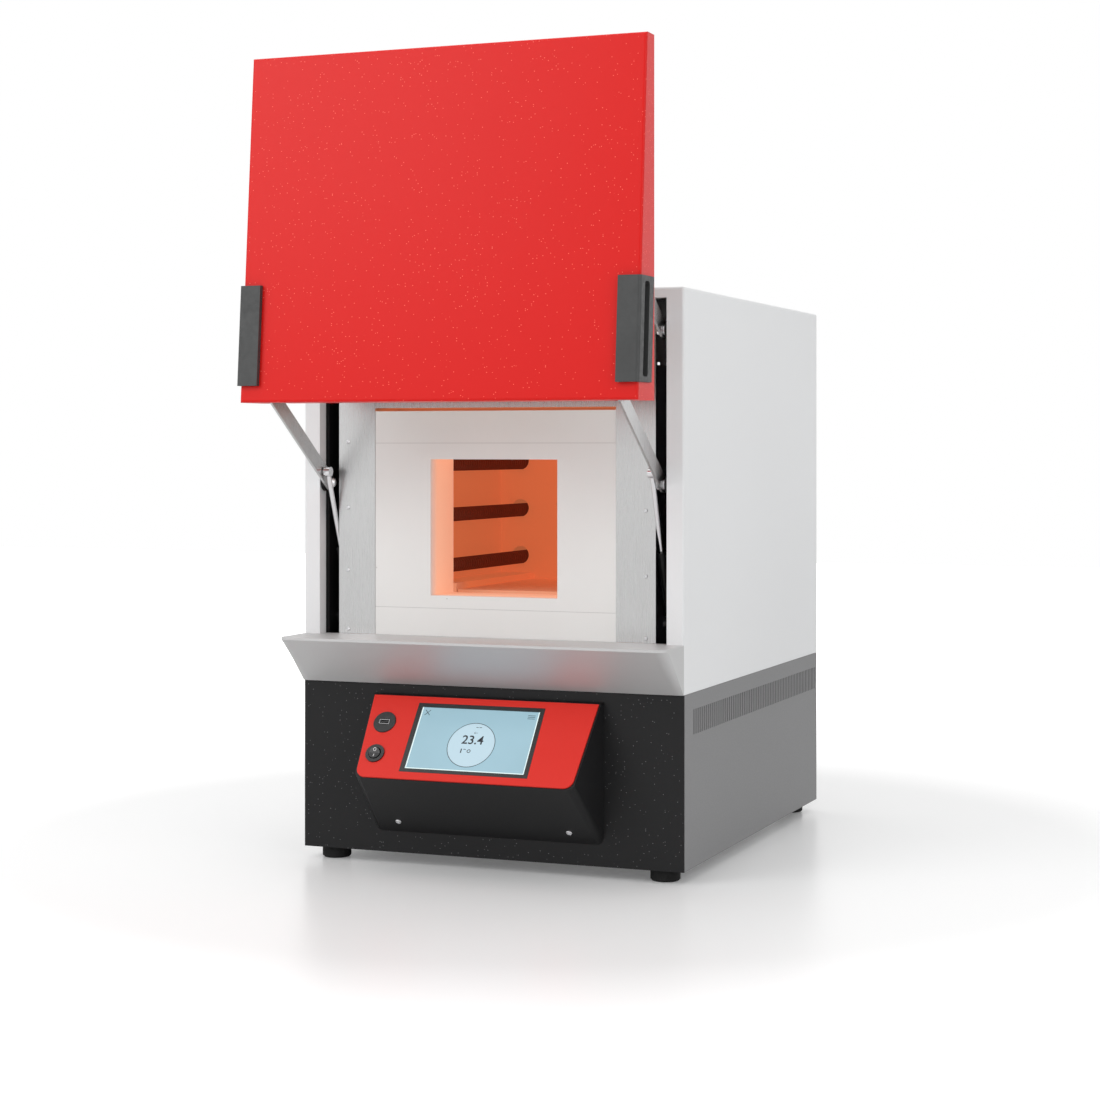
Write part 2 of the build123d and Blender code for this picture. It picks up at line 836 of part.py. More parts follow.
# Front board with the square mouth and blind sockets for the element tips
with BuildPart() as front_board:
    with BuildSketch(from_front(board_front)):
        panel(seat_gap - refractory_half_width, refractory_half_width - seat_gap,
              insulation_low, refractory_top)
        panel(-opening_width / 2, opening_width / 2, opening_low, opening_top,
              mode=Mode.SUBTRACT)
    extrude(amount=-throat_length)
    with BuildSketch(from_front(chamber_front)):
        with Locations(*hole_spots):
            Circle(element_hole / 2)
    extrude(amount=element_socket, mode=Mode.SUBTRACT)
front_board.part.label = "front_board"
export_step(front_board.part, "parts/front_board.step")

# Side boards, stepped round the front board, each with a kerb beside the hearth tile
for side, name in sides:
    with BuildPart() as side_board:
        with BuildSketch(Plane.XY.offset(insulation_low)):
            panel(side * chamber_half_width, side * insulation_half,
                  at(chamber_front + seat_gap), at(chamber_back))
            panel(side * refractory_half_width, side * insulation_half,
                  at(shell_front + seat_gap), at(chamber_front + seat_gap))
        extrude(amount=insulation_top - insulation_low)
        with BuildSketch(from_front(chamber_front + seat_gap)):
            panel(side * (tile_half_width + seat_gap), side * chamber_half_width,
                  floor_z + seat_gap, tile_top + kerb_rise)
        extrude(amount=-(chamber_depth - seat_gap))
    side_board.part.label = f"side_board_{name}"
    export_step(side_board.part, f"parts/side_board_{name}.step")

# Floor and roof boards
board_half = chamber_half_width - seat_gap
with BuildPart() as floor_board:
    with BuildSketch(from_front(chamber_front + seat_gap)):
        panel(-board_half, board_half, insulation_low, floor_z)
    extrude(amount=-(chamber_depth - seat_gap))
floor_board.part.label = "floor_board"
export_step(floor_board.part, "parts/floor_board.step")

with BuildPart() as roof_board:
    with BuildSketch(from_side(-board_half)):
        panel(at(chamber_front + seat_gap), at(chamber_back), chamber_top, insulation_top)
    extrude(amount=2 * board_half)
    with BuildSketch(from_front(shell_front + seat_gap)):
        panel(seat_gap - refractory_half_width, refractory_half_width - seat_gap,
              lintel_low, insulation_top)
    extrude(amount=-(chamber_front - shell_front))
    with BuildSketch(Plane.XY.offset(insulation_top)):
        with Locations((0, flue_y)):
            Circle(flue_outer / 2 + seat_gap)
    extrude(amount=chamber_top - insulation_top, mode=Mode.SUBTRACT)
roof_board.part.label = "roof_board"
export_step(roof_board.part, "parts/roof_board.step")

# Back board with the element holes and the probe's hole
with BuildPart() as back_board:
    with BuildSketch(from_front(chamber_back + seat_gap)):
        panel(-insulation_half, insulation_half, insulation_low, insulation_top)
        with Locations(*hole_spots):
            Circle(element_hole / 2, mode=Mode.SUBTRACT)
        with Locations(probe_spot):
            Circle(probe_diameter / 2 + seat_gap, mode=Mode.SUBTRACT)
    extrude(amount=-(back_board_thickness - seat_gap))
back_board.part.label = "back_board"
export_step(back_board.part, "parts/back_board.step")

# Loose hearth tile
with BuildPart() as hearth_tile:
    with BuildSketch(Plane.XY.offset(floor_z)):
        panel(-tile_half_width, tile_half_width,
              at(chamber_front + tile_play), at(chamber_back - tile_play))
    extrude(amount=tile_thickness)
    fillet(hearth_tile.edges().filter_by(Axis.Z), tile_corner)
hearth_tile.part.label = "hearth_tile"
export_step(hearth_tile.part, "parts/hearth_tile.step")

# Rod elements, three along each side wall, tails through the back board
element_tip = chamber_front - element_socket + element_play
element_end = insulation_back + element_tail
with BuildPart() as heating_elements:
    with BuildSketch(from_front(element_tip)):
        with Locations(*element_spots):
            Circle(element_diameter / 2)
    extrude(amount=element_tip - element_end)
    chamfer(heating_elements.edges().group_by(Axis.Y)[0], element_chamfer)
heating_elements.part.label = "heating_elements"
export_step(heating_elements.part, "parts/heating_elements.step")

# Clamps on the element tails, joined in series by flat straps
clamp_front = insulation_back + clamp_setback
clamp_radius = element_diameter / 2 + clamp_wall
with BuildPart() as element_clamps:
    with BuildSketch(from_front(clamp_front)):
        for side, name in sides:
            x = side * (element_half_pitch + clamp_radius - strap_sheet)
            panel(x, x + side * strap_sheet, element_rows[0], element_rows[1])
        strap_low = element_rows[2] + clamp_radius - strap_sheet
        panel(-element_half_pitch, element_half_pitch, strap_low, strap_low + strap_sheet)
        with Locations(*element_spots):
            Circle(clamp_radius)
            Circle(element_diameter / 2 + pivot_clearance, mode=Mode.SUBTRACT)
    extrude(amount=-clamp_length)
element_clamps.part.label = "element_clamps"
export_step(element_clamps.part, "parts/element_clamps.step")

# Thermocouple: a ceramic sheath with its head behind the shell
with BuildPart() as thermocouple:
    with BuildSketch(from_front(chamber_back - probe_reach)):
        with Locations(probe_spot):
            Circle(probe_diameter / 2)
    extrude(amount=chamber_back - probe_reach - shell_back)
    with BuildSketch(from_front(shell_back)):
        with Locations(probe_spot):
            Circle(probe_head / 2)
    extrude(amount=-probe_head_length)
thermocouple.part.label = "thermocouple"
export_step(thermocouple.part, "parts/thermocouple.step")

# Flue tube from the chamber roof, and its collar on the case
with BuildPart() as flue_tube:
    with BuildSketch(Plane.XY.offset(chamber_top)):
        with Locations((0, flue_y)):
            Circle(flue_outer / 2)
            Circle(flue_bore / 2, mode=Mode.SUBTRACT)
    extrude(amount=body_top + flue_rise - chamber_top)
flue_tube.part.label = "flue_tube"
export_step(flue_tube.part, "parts/flue_tube.step")

with BuildPart() as flue_collar:
    with BuildSketch(Plane.XY.offset(body_top)):
        with Locations((0, flue_y)):
            Circle(flue_outer / 2 + collar_width)
    extrude(amount=collar_sheet)
    with BuildSketch(Plane.XY.offset(body_top)):
        with Locations((0, flue_y)):
            Circle(flue_outer / 2 + collar_neck)
    extrude(amount=collar_height)
    with BuildSketch(Plane.XY.offset(body_top)):
        with Locations((0, flue_y)):
            Circle(flue_outer / 2 + seat_gap)
    extrude(amount=collar_height, mode=Mode.SUBTRACT)
flue_collar.part.label = "flue_collar"
export_step(flue_collar.part, "parts/flue_collar.step")


def flat_arm(pivot, pin, pin_clearance):
    """The outline of a round-ended flat bar, bored for its pivot and its door pin."""
    angle = math.degrees(math.atan2(pin[1] - pivot[1], pin[0] - pivot[0]))
    middle = (at((pivot[0] + pin[0]) / 2), (pivot[1] + pin[1]) / 2)
    with Locations(Location((middle[0], middle[1], 0), (0, 0, angle))):
        SlotCenterToCenter(arm_length, arm_width)
    with Locations((at(pivot[0]), pivot[1])):
        Circle(pivot_diameter / 2 + pivot_clearance, mode=Mode.SUBTRACT)
    with Locations((at(pin[0]), pin[1])):
        Circle(pivot_diameter / 2 + pin_clearance, mode=Mode.SUBTRACT)


def bolt_profile(nut_end, shoulder_end):
    """Half the section of a shouldered bolt, as distance along it and radius."""
    radius = pivot_diameter / 2
    head = pivot_head / 2
    toward = math.copysign(1, shoulder_end - nut_end)
    near = arm_plane - toward * (arm_thickness / 2 + moving_gap)
    far = arm_plane + toward * (arm_thickness / 2 + moving_gap)
    seat = shoulder_end - bracket_sheet * toward
    outline((nut_end, 0), (nut_end, radius), (nut_end + nut_dome * toward, head), (near, head),
            (near, radius), (far, radius), (far, head), (seat, head),
            (seat, radius), (shoulder_end, radius), (shoulder_end, 0))


# Flat arms: two lower ones that carry the door, two upper ones that keep it upright
for side, name in sides:
    with BuildPart() as lower_arm:
        with BuildSketch(from_side(side * arm_plane)):
            flat_arm(lower_pivot, lower_pin, pivot_clearance)
        extrude(amount=arm_thickness / 2, both=True)
    lower_arm.part.label = f"lower_arm_{name}"
    export_step(lower_arm.part, f"parts/lower_arm_{name}.step")

    with BuildPart() as upper_arm:
        with BuildSketch(from_side(side * arm_plane)):
            flat_arm(upper_pivot, upper_pin, open_pivot_clearance)
        extrude(amount=arm_thickness / 2, both=True)
    upper_arm.part.label = f"upper_arm_{name}"
    export_step(upper_arm.part, f"parts/upper_arm_{name}.step")

# Shouldered bolts with domed nuts: the posts carry theirs, the door brackets carry theirs
post_outer = post_plane + bracket_sheet
bracket_plane = arm_plane - arm_thickness / 2 - moving_gap - bracket_sheet
nut_inner = arm_plane - arm_thickness / 2 - moving_gap - nut_thickness
nut_outer = arm_plane + arm_thickness / 2 + moving_gap + nut_thickness
for points, ends, name in (((lower_pivot, upper_pivot), (nut_inner, post_outer), "frame_pivots"),
                           ((lower_pin, upper_pin), (nut_outer, bracket_plane - bracket_sheet),
                            "door_pivots")):
    with BuildPart() as pivots:
        for depth, height in points:
            with BuildSketch(Plane(origin=(0, at(depth), height))):
                with BuildLine():
                    bolt_profile(*ends)
                make_face()
            revolve(axis=Axis((0, at(depth), height), (1, 0, 0)))
        mirror(about=Plane.YZ)
    pivots.part.label = name
    export_step(pivots.part, f"parts/{name}.step")

# Gas struts between the posts and the lower arms
arm_angle = math.radians(open_angle)
crank = (lower_pivot[0] - strut_crank * math.cos(arm_angle),
         lower_pivot[1] + strut_crank * math.sin(arm_angle))
anchor = (anchor_depth, base_top + anchor_rise)
strut_length = math.dist(anchor, crank)
strut_run = Vector(0, crank[0] - anchor[0], crank[1] - anchor[1]).normalized()
closed_crank = (lower_pivot[0] - strut_crank * math.cos(math.radians(closed_angle)),
                lower_pivot[1] + strut_crank * math.sin(math.radians(closed_angle)))
strut_stroke = strut_length - math.dist(anchor, closed_crank)
strut_head = strut_neck + strut_tube_length
piston_foot = strut_neck + strut_end + strut_stroke + piston_margin


def along_strut(side, distance):
    """A plane square to a strut, at a distance from its anchor."""
    return Plane(origin=Vector(side * strut_plane, at(anchor[0]), anchor[1])
                 + strut_run * distance, x_dir=(1, 0, 0), z_dir=strut_run)


def strut_eye_plane(side, point):
    """An upright plane through a strut, with its origin at one end of it."""
    return Plane(origin=(side * strut_plane, at(point[0]), point[1]),
                 x_dir=(0, 1, 0), z_dir=(1, 0, 0))


with BuildPart() as strut_cylinders:
    for side, name in sides:
        with BuildSketch(along_strut(side, strut_neck)):
            Circle(strut_tube / 2)
        extrude(amount=strut_tube_length)
        with BuildSketch(along_strut(side, strut_neck + strut_end)):
            Circle(strut_bore / 2)
        extrude(amount=strut_tube_length - strut_end - strut_gland, mode=Mode.SUBTRACT)
        with BuildSketch(along_strut(side, strut_head)):
            Circle(strut_rod / 2 + pivot_clearance)
        extrude(amount=-strut_gland, mode=Mode.SUBTRACT)
        with BuildSketch(along_strut(side, 0)):
            Circle(strut_rod / 2)
        extrude(amount=strut_neck)
        with BuildSketch(strut_eye_plane(side, anchor)):
            Circle(strut_eye / 2)
        extrude(amount=strut_eye_half, both=True)
        with BuildSketch(strut_eye_plane(side, anchor)):
            Circle(strut_rod / 2 + pivot_clearance)
        extrude(amount=strut_tube, both=True, mode=Mode.SUBTRACT)
strut_cylinders.part.label = "strut_cylinders"
export_step(strut_cylinders.part, "parts/strut_cylinders.step")

with BuildPart() as strut_rods:
    for side, name in sides:
        with BuildSketch(along_strut(side, piston_foot)):
            Circle(strut_bore / 2 - moving_gap)
        extrude(amount=piston_length)
        with BuildSketch(along_strut(side, piston_foot + piston_length)):
            Circle(strut_rod / 2)
        extrude(amount=strut_length - piston_foot - piston_length)
        with BuildSketch(strut_eye_plane(side, crank)):
            Circle(strut_eye / 2)
        extrude(amount=strut_eye_half, both=True)
        with BuildSketch(strut_eye_plane(side, crank)):
            Circle(strut_rod / 2)
        extrude(amount=side * (arm_plane - arm_thickness / 2 - moving_gap - strut_plane))
strut_rods.part.label = "strut_rods"
export_step(strut_rods.part, "parts/strut_rods.step")

# Studs on the posts that hold the struts' lower eyes
with BuildPart() as strut_studs:
    with BuildSketch(Plane(origin=(0, at(anchor[0]), anchor[1]))):
        with BuildLine():
            eye_inner = strut_plane - strut_eye_half - moving_gap
            eye_outer = strut_plane + strut_eye_half + moving_gap
            outline((eye_inner - stud_head, 0), (eye_inner - stud_head, strut_eye / 2),
                    (eye_inner, strut_eye / 2), (eye_inner, strut_rod / 2),
                    (eye_outer, strut_rod / 2), (eye_outer, strut_eye / 2),
                    (post_plane, strut_eye / 2), (post_plane, pivot_diameter / 2),
                    (post_outer, pivot_diameter / 2), (post_outer, 0))
        make_face()
    revolve(axis=Axis((0, at(anchor[0]), anchor[1]), (1, 0, 0)))
    mirror(about=Plane.YZ)
strut_studs.part.label = "strut_studs"
export_step(strut_studs.part, "parts/strut_studs.step")


def door_face(height):
    """Depth of the door's front face at a height above its bottom edge."""
    return door_front + door_slope * height


def slanted_band(low, high, front_shift, back_shift):
    """A band that follows the door's slanted face, between two heights above its bottom."""
    outline((at(door_face(low) + front_shift), door_low + low),
            (at(door_face(high) + front_shift), door_low + high),
            (at(door_face(high) + back_shift), door_low + high),
            (at(door_face(low) + back_shift), door_low + low))


# Door shell: a wedge-shaped pan, open at the back, with a flange all round
notch_inner = bracket_plane - bracket_sheet - notch_margin
notch_outer = nut_outer + notch_margin
handle_top = handle_low + handle_length
with BuildPart() as door_shell:
    with BuildSketch(from_side(-door_width / 2)):
        with BuildLine():
            outline((at(door_face(0)), door_low), (at(door_face(door_height)), door_top),
                    (at(door_rear), door_top), (at(door_rear), door_low))
        make_face()
    extrude(amount=door_width)
    front_edges = door_shell.edges().group_by(lambda e: round(
        e.center().Y - at(door_face(e.center().Z - door_low)), 2))[0]
    fillet(front_edges, corner_radius)
    offset(amount=-sheet, openings=door_shell.faces().sort_by(Axis.Y)[-1])
    with BuildSketch(from_front(door_rear - sheet)):
        panel(-door_width / 2 + sheet, door_width / 2 - sheet, door_low + sheet, door_top - sheet)
        panel(-door_width / 2 + door_flange, door_width / 2 - door_flange,
              door_low + door_flange, door_top - door_flange, mode=Mode.SUBTRACT)
    extrude(amount=-sheet)
    with BuildSketch(Plane.XY.offset(door_low - sheet)):
        for side, name in sides:
            panel(side * notch_inner, side * notch_outer,
                  at(lower_pin[0] - pivot_head), at(door_rear + sheet))
    extrude(amount=door_flange + 2 * sheet, mode=Mode.SUBTRACT)
    for side, name in sides:
        with BuildSketch(from_side(side * (handle_inner - seat_gap))):
            with BuildLine():
                slanted_band(handle_low - seat_gap, handle_top + seat_gap, -1,
                             handle_depth - handle_proud + seat_gap)
            make_face()
        extrude(amount=side * body_width, mode=Mode.SUBTRACT)
door_shell.part.label = "door_shell"
export_step(door_shell.part, "parts/door_shell.step")

# Handles let into the door's lower edges, each with a finger slot in its outer side
for side, name in sides:
    with BuildPart() as handle:
        with BuildSketch(from_side(side * handle_inner)):
            with BuildLine():
                slanted_band(handle_low, handle_top, -handle_proud,
                             handle_depth - handle_proud)
            make_face()
        extrude(amount=side * (handle_outer - handle_inner))
        outer_face = handle.faces().sort_by(Axis.X)[-1 if side > 0 else 0]
        fillet(outer_face.edges().sort_by(Axis.Y)[0], handle_fillet)
        with BuildSketch(from_side(side * handle_outer)):
            with BuildLine():
                edge = (handle_length - grip_length) / 2
                slanted_band(handle_low + edge, handle_top - edge,
                             handle_depth / 2 - handle_proud - grip_width / 2,
                             handle_depth / 2 - handle_proud + grip_width / 2)
            make_face()
            fillet(vertices(), handle_fillet)
        extrude(amount=-side * grip_depth, mode=Mode.SUBTRACT)
    handle.part.label = f"handle_{name}"
    export_step(handle.part, f"parts/handle_{name}.step")

# Door back panel, with the pad that closes the chamber mouth
panel_half = bracket_plane - bracket_sheet
panel_face = door_rear - sheet
with BuildPart() as door_back_panel:
    with BuildSketch(from_front(panel_face)):
        panel(-panel_half, panel_half,
              door_low + back_panel_margin, door_top - back_panel_margin)
    extrude(amount=sheet)
door_back_panel.part.label = "door_back_panel"
export_step(door_back_panel.part, "parts/door_back_panel.step")

pad_reach = board_front - door_travel_out - closed_gap
with BuildPart() as door_pad:
    with BuildSketch(from_front(panel_face)):
        panel(-pad_half_width, pad_half_width, opening_low - pad_overlap + door_travel_up,
              opening_top + pad_overlap + door_travel_up)
    extrude(amount=panel_face - pad_reach)
    chamfer(door_pad.faces().sort_by(Axis.Y)[-1].edges(), pad_chamfer)
door_pad.part.label = "door_pad"
export_step(door_pad.part, "parts/door_pad.step")

# Brackets inside the door that carry its pivots
for side, name in sides:
    with BuildPart() as door_bracket:
        with BuildSketch(from_side(side * (bracket_plane - bracket_sheet / 2))):
            panel(at(lower_pin[0] - ear_radius), at(panel_face - sheet),
                  upper_pin[1] - ear_radius, upper_pin[1] + ear_radius)
            panel(at(lower_pin[0]), at(panel_face - sheet),
                  lower_pin[1], upper_pin[1])
            with Locations((at(lower_pin[0]), lower_pin[1])):
                Circle(pivot_head / 2)
            for depth, height in (lower_pin, upper_pin):
                with Locations((at(depth), height)):
                    Circle(pivot_diameter / 2 + pivot_clearance, mode=Mode.SUBTRACT)
        extrude(amount=bracket_sheet / 2, both=True)
        with BuildSketch(from_front(panel_face - sheet)):
            panel(side * (bracket_plane - bracket_flange), side * bracket_plane,
                  lower_pin[1] + pivot_head, upper_pin[1] + ear_radius)
        extrude(amount=bracket_sheet)
    door_bracket.part.label = f"door_bracket_{name}"
    export_step(door_bracket.part, f"parts/door_bracket_{name}.step")

# Cooling fan on the base's rear panel: a square frame with a hub on four spokes
fan_front = rear_inner - fan_depth
with BuildPart() as fan_frame:
    with BuildSketch(from_front(fan_front)):
        with Locations((fan_x, fan_z)):
            RectangleRounded(fan_size, fan_size, fan_corner)
            Circle(fan_bore / 2, mode=Mode.SUBTRACT)
            with GridLocations(fan_hole_pitch, fan_hole_pitch, 2, 2):
                Circle(fan_hole / 2, mode=Mode.SUBTRACT)
    extrude(amount=-fan_depth)
    with BuildSketch(from_front(fan_front)):
        with Locations((fan_x, fan_z)):
            Circle(fan_hub / 2)
            for angle in (45, 135):
                Rectangle(fan_bore + fan_spoke, fan_spoke, rotation=angle)
    extrude(amount=-fan_web)
    with BuildSketch(from_front(fan_front)):
        with Locations((fan_x, fan_z)):
            Circle(fan_spindle / 2)
    extrude(amount=-(fan_web + moving_gap + rotor_length / 2))
fan_frame.part.label = "fan_frame"
export_step(fan_frame.part, "parts/fan_frame.step")

# Fan rotor: a cup with pitched blades, turning on the frame's spindle
rotor_front = fan_front + fan_web + moving_gap
blade_length = (fan_bore - fan_hub) / 2 - blade_clearance
with BuildPart() as fan_rotor:
    with BuildSketch(from_front(rotor_front)):
        with Locations((fan_x, fan_z)):
            Circle(fan_hub / 2)
            Circle(fan_spindle / 2 + pivot_clearance, mode=Mode.SUBTRACT)
    extrude(amount=-rotor_length)
    hub_centre = Vector(fan_x, at(rotor_front + rotor_length / 2), fan_z)
    for blade in range(fan_blades):
        turn = math.radians(blade * 360 / fan_blades)
        outward = Vector(math.cos(turn), 0, math.sin(turn))
        around = Vector(-math.sin(turn), 0, math.cos(turn))
        pitch = math.radians(blade_pitch)
        chord = around * math.cos(pitch) + Vector(0, math.sin(pitch), 0)
        with BuildSketch(Plane(origin=hub_centre + outward * (fan_hub / 2 - blade_root),
                               x_dir=chord, z_dir=outward)):
            Rectangle(rotor_length, blade_sheet)
        extrude(amount=blade_length + blade_root)
fan_rotor.part.label = "fan_rotor"
export_step(fan_rotor.part, "parts/fan_rotor.step")

# Controller board behind the console, standing on pillars on the pan
pan_top = foot_height + sheet
board_low = pan_top + pillar_height
board_top = board_low + board_sheet
with BuildPart() as controller_board:
    with BuildSketch(Plane.XY.offset(board_low)):
        with Locations((0, at(board_setback))):
            Rectangle(board_width, board_length)
    extrude(amount=board_sheet)
    with BuildSketch(Plane.XY.offset(pan_top)):
        with Locations((0, at(board_setback))):
            with GridLocations(board_width - 2 * pillar_inset, board_length - 2 * pillar_inset,
                               2, 2):
                Circle(pillar_diameter / 2)
    extrude(amount=pillar_height)
    with BuildSketch(Plane.XY.offset(board_top)):
        with Locations((-board_width / 3, at(board_setback))):
            Rectangle(board_length / 4, board_length / 4)
        with Locations((board_width / 5, at(board_setback - board_length / 4))):
            Rectangle(board_width / 3, board_length / 7)
        with Locations((board_width / 3, at(board_setback + board_length / 5))):
            Rectangle(board_width / 10, board_length / 3)
    extrude(amount=chip_height)
    with BuildSketch(Plane.XY.offset(board_top)):
        with Locations((0, at(board_setback + board_length / 5))):
            with GridLocations(2 * capacitor_diameter, 0, 3, 1):
                Circle(capacitor_diameter / 2)
    extrude(amount=capacitor_height)
controller_board.part.label = "controller_board"
export_step(controller_board.part, "parts/controller_board.step")

# Power unit: a finned heat sink that carries the element drive
with BuildPart() as power_unit:
    with BuildSketch(Plane.XY.offset(pan_top)):
        with Locations((sink_x, at(sink_setback))):
            Rectangle(sink_width, sink_length)
    extrude(amount=sink_plate)
    with BuildSketch(Plane.XY.offset(pan_top + sink_plate)):
        with Locations((sink_x, at(sink_setback))):
            with GridLocations(fin_pitch, 0, fin_count, 1):
                Rectangle(fin_sheet, sink_length)
    extrude(amount=fin_height)
    with BuildSketch(Plane.XY.offset(pan_top + sink_plate + fin_height)):
        with Locations((sink_x, at(sink_setback))):
            Rectangle(fin_pitch * (fin_count - 1) + fin_sheet, sink_length / 2)
    extrude(amount=drive_height)
power_unit.part.label = "power_unit"
export_step(power_unit.part, "parts/power_unit.step")

# Transformer that feeds the elements: a laminated core with three windings
with BuildPart() as transformer:
    with BuildSketch(from_front(core_setback - core_length / 2)):
        with Locations((core_x, pan_top + core_height / 2)):
            Rectangle(core_width, core_height)
            with GridLocations((core_width - core_limb) / 2, 0, 2, 1):
                Rectangle((core_width - 3 * core_limb) / 2, core_height - 2 * core_limb,
                          mode=Mode.SUBTRACT)
    extrude(amount=-core_length)
    with BuildSketch(Plane.XY.offset(pan_top + core_limb)):
        with Locations((core_x, at(core_setback))):
            with GridLocations((core_width - core_limb) / 2, 0, 3, 1):
                RectangleRounded(core_limb + 2 * winding_wall, core_length + 2 * winding_wall,
                                 winding_wall)
    extrude(amount=core_height - 2 * core_limb)
transformer.part.label = "transformer"
export_step(transformer.part, "parts/transformer.step")

# Cable gland in the base's rear panel
with BuildPart() as mains_gland:
    with BuildSketch(from_front(rear_inner - gland_tail)):
        with Locations((gland_x, gland_z)):
            Circle(gland_thread / 2)
    extrude(amount=-(gland_tail + sheet))
    for depth, thickness in ((body_depth, gland_hex), (rear_inner - gland_nut, gland_nut)):
        with BuildSketch(from_front(depth)):
            with Locations((gland_x, gland_z)):
                RegularPolygon(gland_diameter / 2, 6)
        extrude(amount=-thickness)
    with BuildSketch(from_front(body_depth + gland_hex)):
        with Locations((gland_x, gland_z)):
            Circle(gland_cap / 2)
    extrude(amount=gland_hex - gland_length)
    chamfer(mains_gland.edges().group_by(Axis.Y)[-1], gland_chamfer)
    with BuildSketch(from_front(rear_inner - gland_tail)):
        with Locations((gland_x, gland_z)):
            Circle(gland_bore / 2)
    extrude(amount=-(gland_tail + sheet + gland_length), mode=Mode.SUBTRACT)
mains_gland.part.label = "mains_gland"
export_step(mains_gland.part, "parts/mains_gland.step")
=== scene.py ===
import math

import bmesh
import bpy
from bpy.props import FloatProperty, FloatVectorProperty, PointerProperty
from mathutils import Matrix, Vector
from mathutils.bvhtree import BVHTree


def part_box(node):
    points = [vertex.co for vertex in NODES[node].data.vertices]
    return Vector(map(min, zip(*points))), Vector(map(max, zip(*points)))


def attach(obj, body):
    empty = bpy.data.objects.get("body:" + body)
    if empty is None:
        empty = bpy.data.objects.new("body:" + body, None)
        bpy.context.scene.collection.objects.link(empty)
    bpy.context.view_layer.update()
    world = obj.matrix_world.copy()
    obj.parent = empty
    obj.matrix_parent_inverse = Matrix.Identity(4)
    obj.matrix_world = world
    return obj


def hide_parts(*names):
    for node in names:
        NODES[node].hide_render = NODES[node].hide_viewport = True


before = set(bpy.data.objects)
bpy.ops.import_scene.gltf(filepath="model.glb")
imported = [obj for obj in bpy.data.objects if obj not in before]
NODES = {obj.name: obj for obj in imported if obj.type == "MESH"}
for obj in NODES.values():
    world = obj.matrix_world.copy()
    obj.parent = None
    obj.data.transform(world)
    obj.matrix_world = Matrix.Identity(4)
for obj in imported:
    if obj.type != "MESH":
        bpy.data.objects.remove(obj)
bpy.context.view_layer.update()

bl_info = {
    "name": "Laboratory Chamber Furnace",
    "version": (1, 0, 0),
    "blender": (4, 5, 0),
    "location": "View3D > Sidebar > Furnace",
    "description": "Finishes and fine parts of a bench-top chamber furnace, on its packed frame",
    "category": "Object",
}

# ---------------------------------------------------------------- fixed values

# Kinds of socket of a Geometry Nodes tree
FLOAT, WHOLE = "NodeSocketFloat", "NodeSocketInt"
VECTOR, MATERIAL = "NodeSocketVector", "NodeSocketMaterial"

# Places of the colour sockets on Blender's Mix node, which has a set for each kind of data
MIX_SHARE, MIX_FIRST, MIX_SECOND, MIX_RESULT = 0, 6, 7, 2

# Corners of a rectangle, as shares of half its width and height
CORNERS = ((-1, -1), (1, -1), (1, 1), (-1, 1))

# Distances in metres under which points count as one, or as lying on one face
SAME_POINT, SAME_VERTEX, SAME_FACE = 1e-7, 1e-6, 1e-5

# Nodes with a finish of their own. All others take the finish of their slot in the record
OWN_FINISH = {"front_board": "mouth", "sill": "sill"}

# Joints between the front board's layers: below its top and above its foot, in metres
UPPER_SEAM, LOWER_SEAM = 0.0395, 0.066

# Ribbed heating rods: sides, rings of points to one rib, and length of the blunt tip in metres
ROD_SIDES, RINGS_PER_RIB, ROD_TIP = 36, 10, 0.004

# Socket screws: sides, and shares of the head's height or width
SCREW_SIDES, RIM_SHARE, CROWN_SHARE, SOCKET_SHARE = 24, 0.45, 0.78, 0.7

# The screen's dial: how far its middle lies below the screen's, and the sides of its rings.
# Rows are heights above the dial's middle, shifts are to its right, sizes are width and
# height, or radius and width of the line. All are in metres.
DIAL_DROP, DIAL_SIDES, NOTE_RING_SIDES, LOW_RING_SIDES = 0.0065, 96, 24, 32
FIGURES_ROW, FIGURES_SHIFT, FIGURES_WEIGHT = 0.0064, 0.0005, 0.0002
TOP_ROW, TOP_DASH, TOP_SHIFTS = 0.0245, (0.0032, 0.0007), (0.002, 0.0062)
NOTE_ROW, NOTE_RING, NOTE_RING_SHIFT = 0.0168, (0.0012, 0.0004), 0.001
NOTE_DASH, NOTE_DASH_SHIFT = (0.0018, 0.0005), 0.0036
LOW_ROW, LOW_STROKE, LOW_STROKE_SHIFT = -0.0085, (0.0014, 0.0058), -0.0108
LOW_RING, LOW_RING_SHIFT = (0.0024, 0.0009), -0.0008
LOW_DASH, LOW_DASH_ROW, LOW_DASH_SHIFT = (0.0034, 0.0008), -0.0063, -0.0066

# The signs in the screen's upper corners, from its edges
SIGN_DROP = 0.0075
CROSS_BAR, CROSS_TURN, CROSS_INSET = (0.0098, 0.0007), math.radians(48), 0.0085
MENU_BAR, MENU_PITCH, MENU_INSET = (0.0095, 0.0006), 0.0022, 0.0095

# The marks on the switch, from its middle, and the port's liner
OFF_RING, OFF_PLACE, OFF_SIDES = (0.0021, 0.0007), (0, 0.0036), 40
ON_BAR, ON_PLACE = (0.0008, 0.0034), (0, -0.0038)
LINER_OUTSIDE, LINER_INSIDE = (0.0131, 0.0057), (0.0123, 0.0049)
LINER_FRONT, LINER_BACK = 0.0003, -0.009

# How far above a surface the search for it starts when a print is laid on it
SEARCH_HEIGHT = 0.02

# Area lamps: place and width in metres, all aimed at one point of the furnace
LAMPS = {
    "key_lamp": ((-1.9, -2.7, 2.3), 2.2),
    "fill_lamp": ((2.7, -1.5, 1.7), 2.4),
    "top_lamp": ((0.0, 0.2, 3.0), 3.0),
}
LAMP_AIM = Vector((0, 0, 0.45))

# Level of the floor in metres, and width of the camera's frame in millimetres
FLOOR_LEVEL, FILM_WIDTH = -0.0005, 36


# ---------------------------------------------------------------- settings

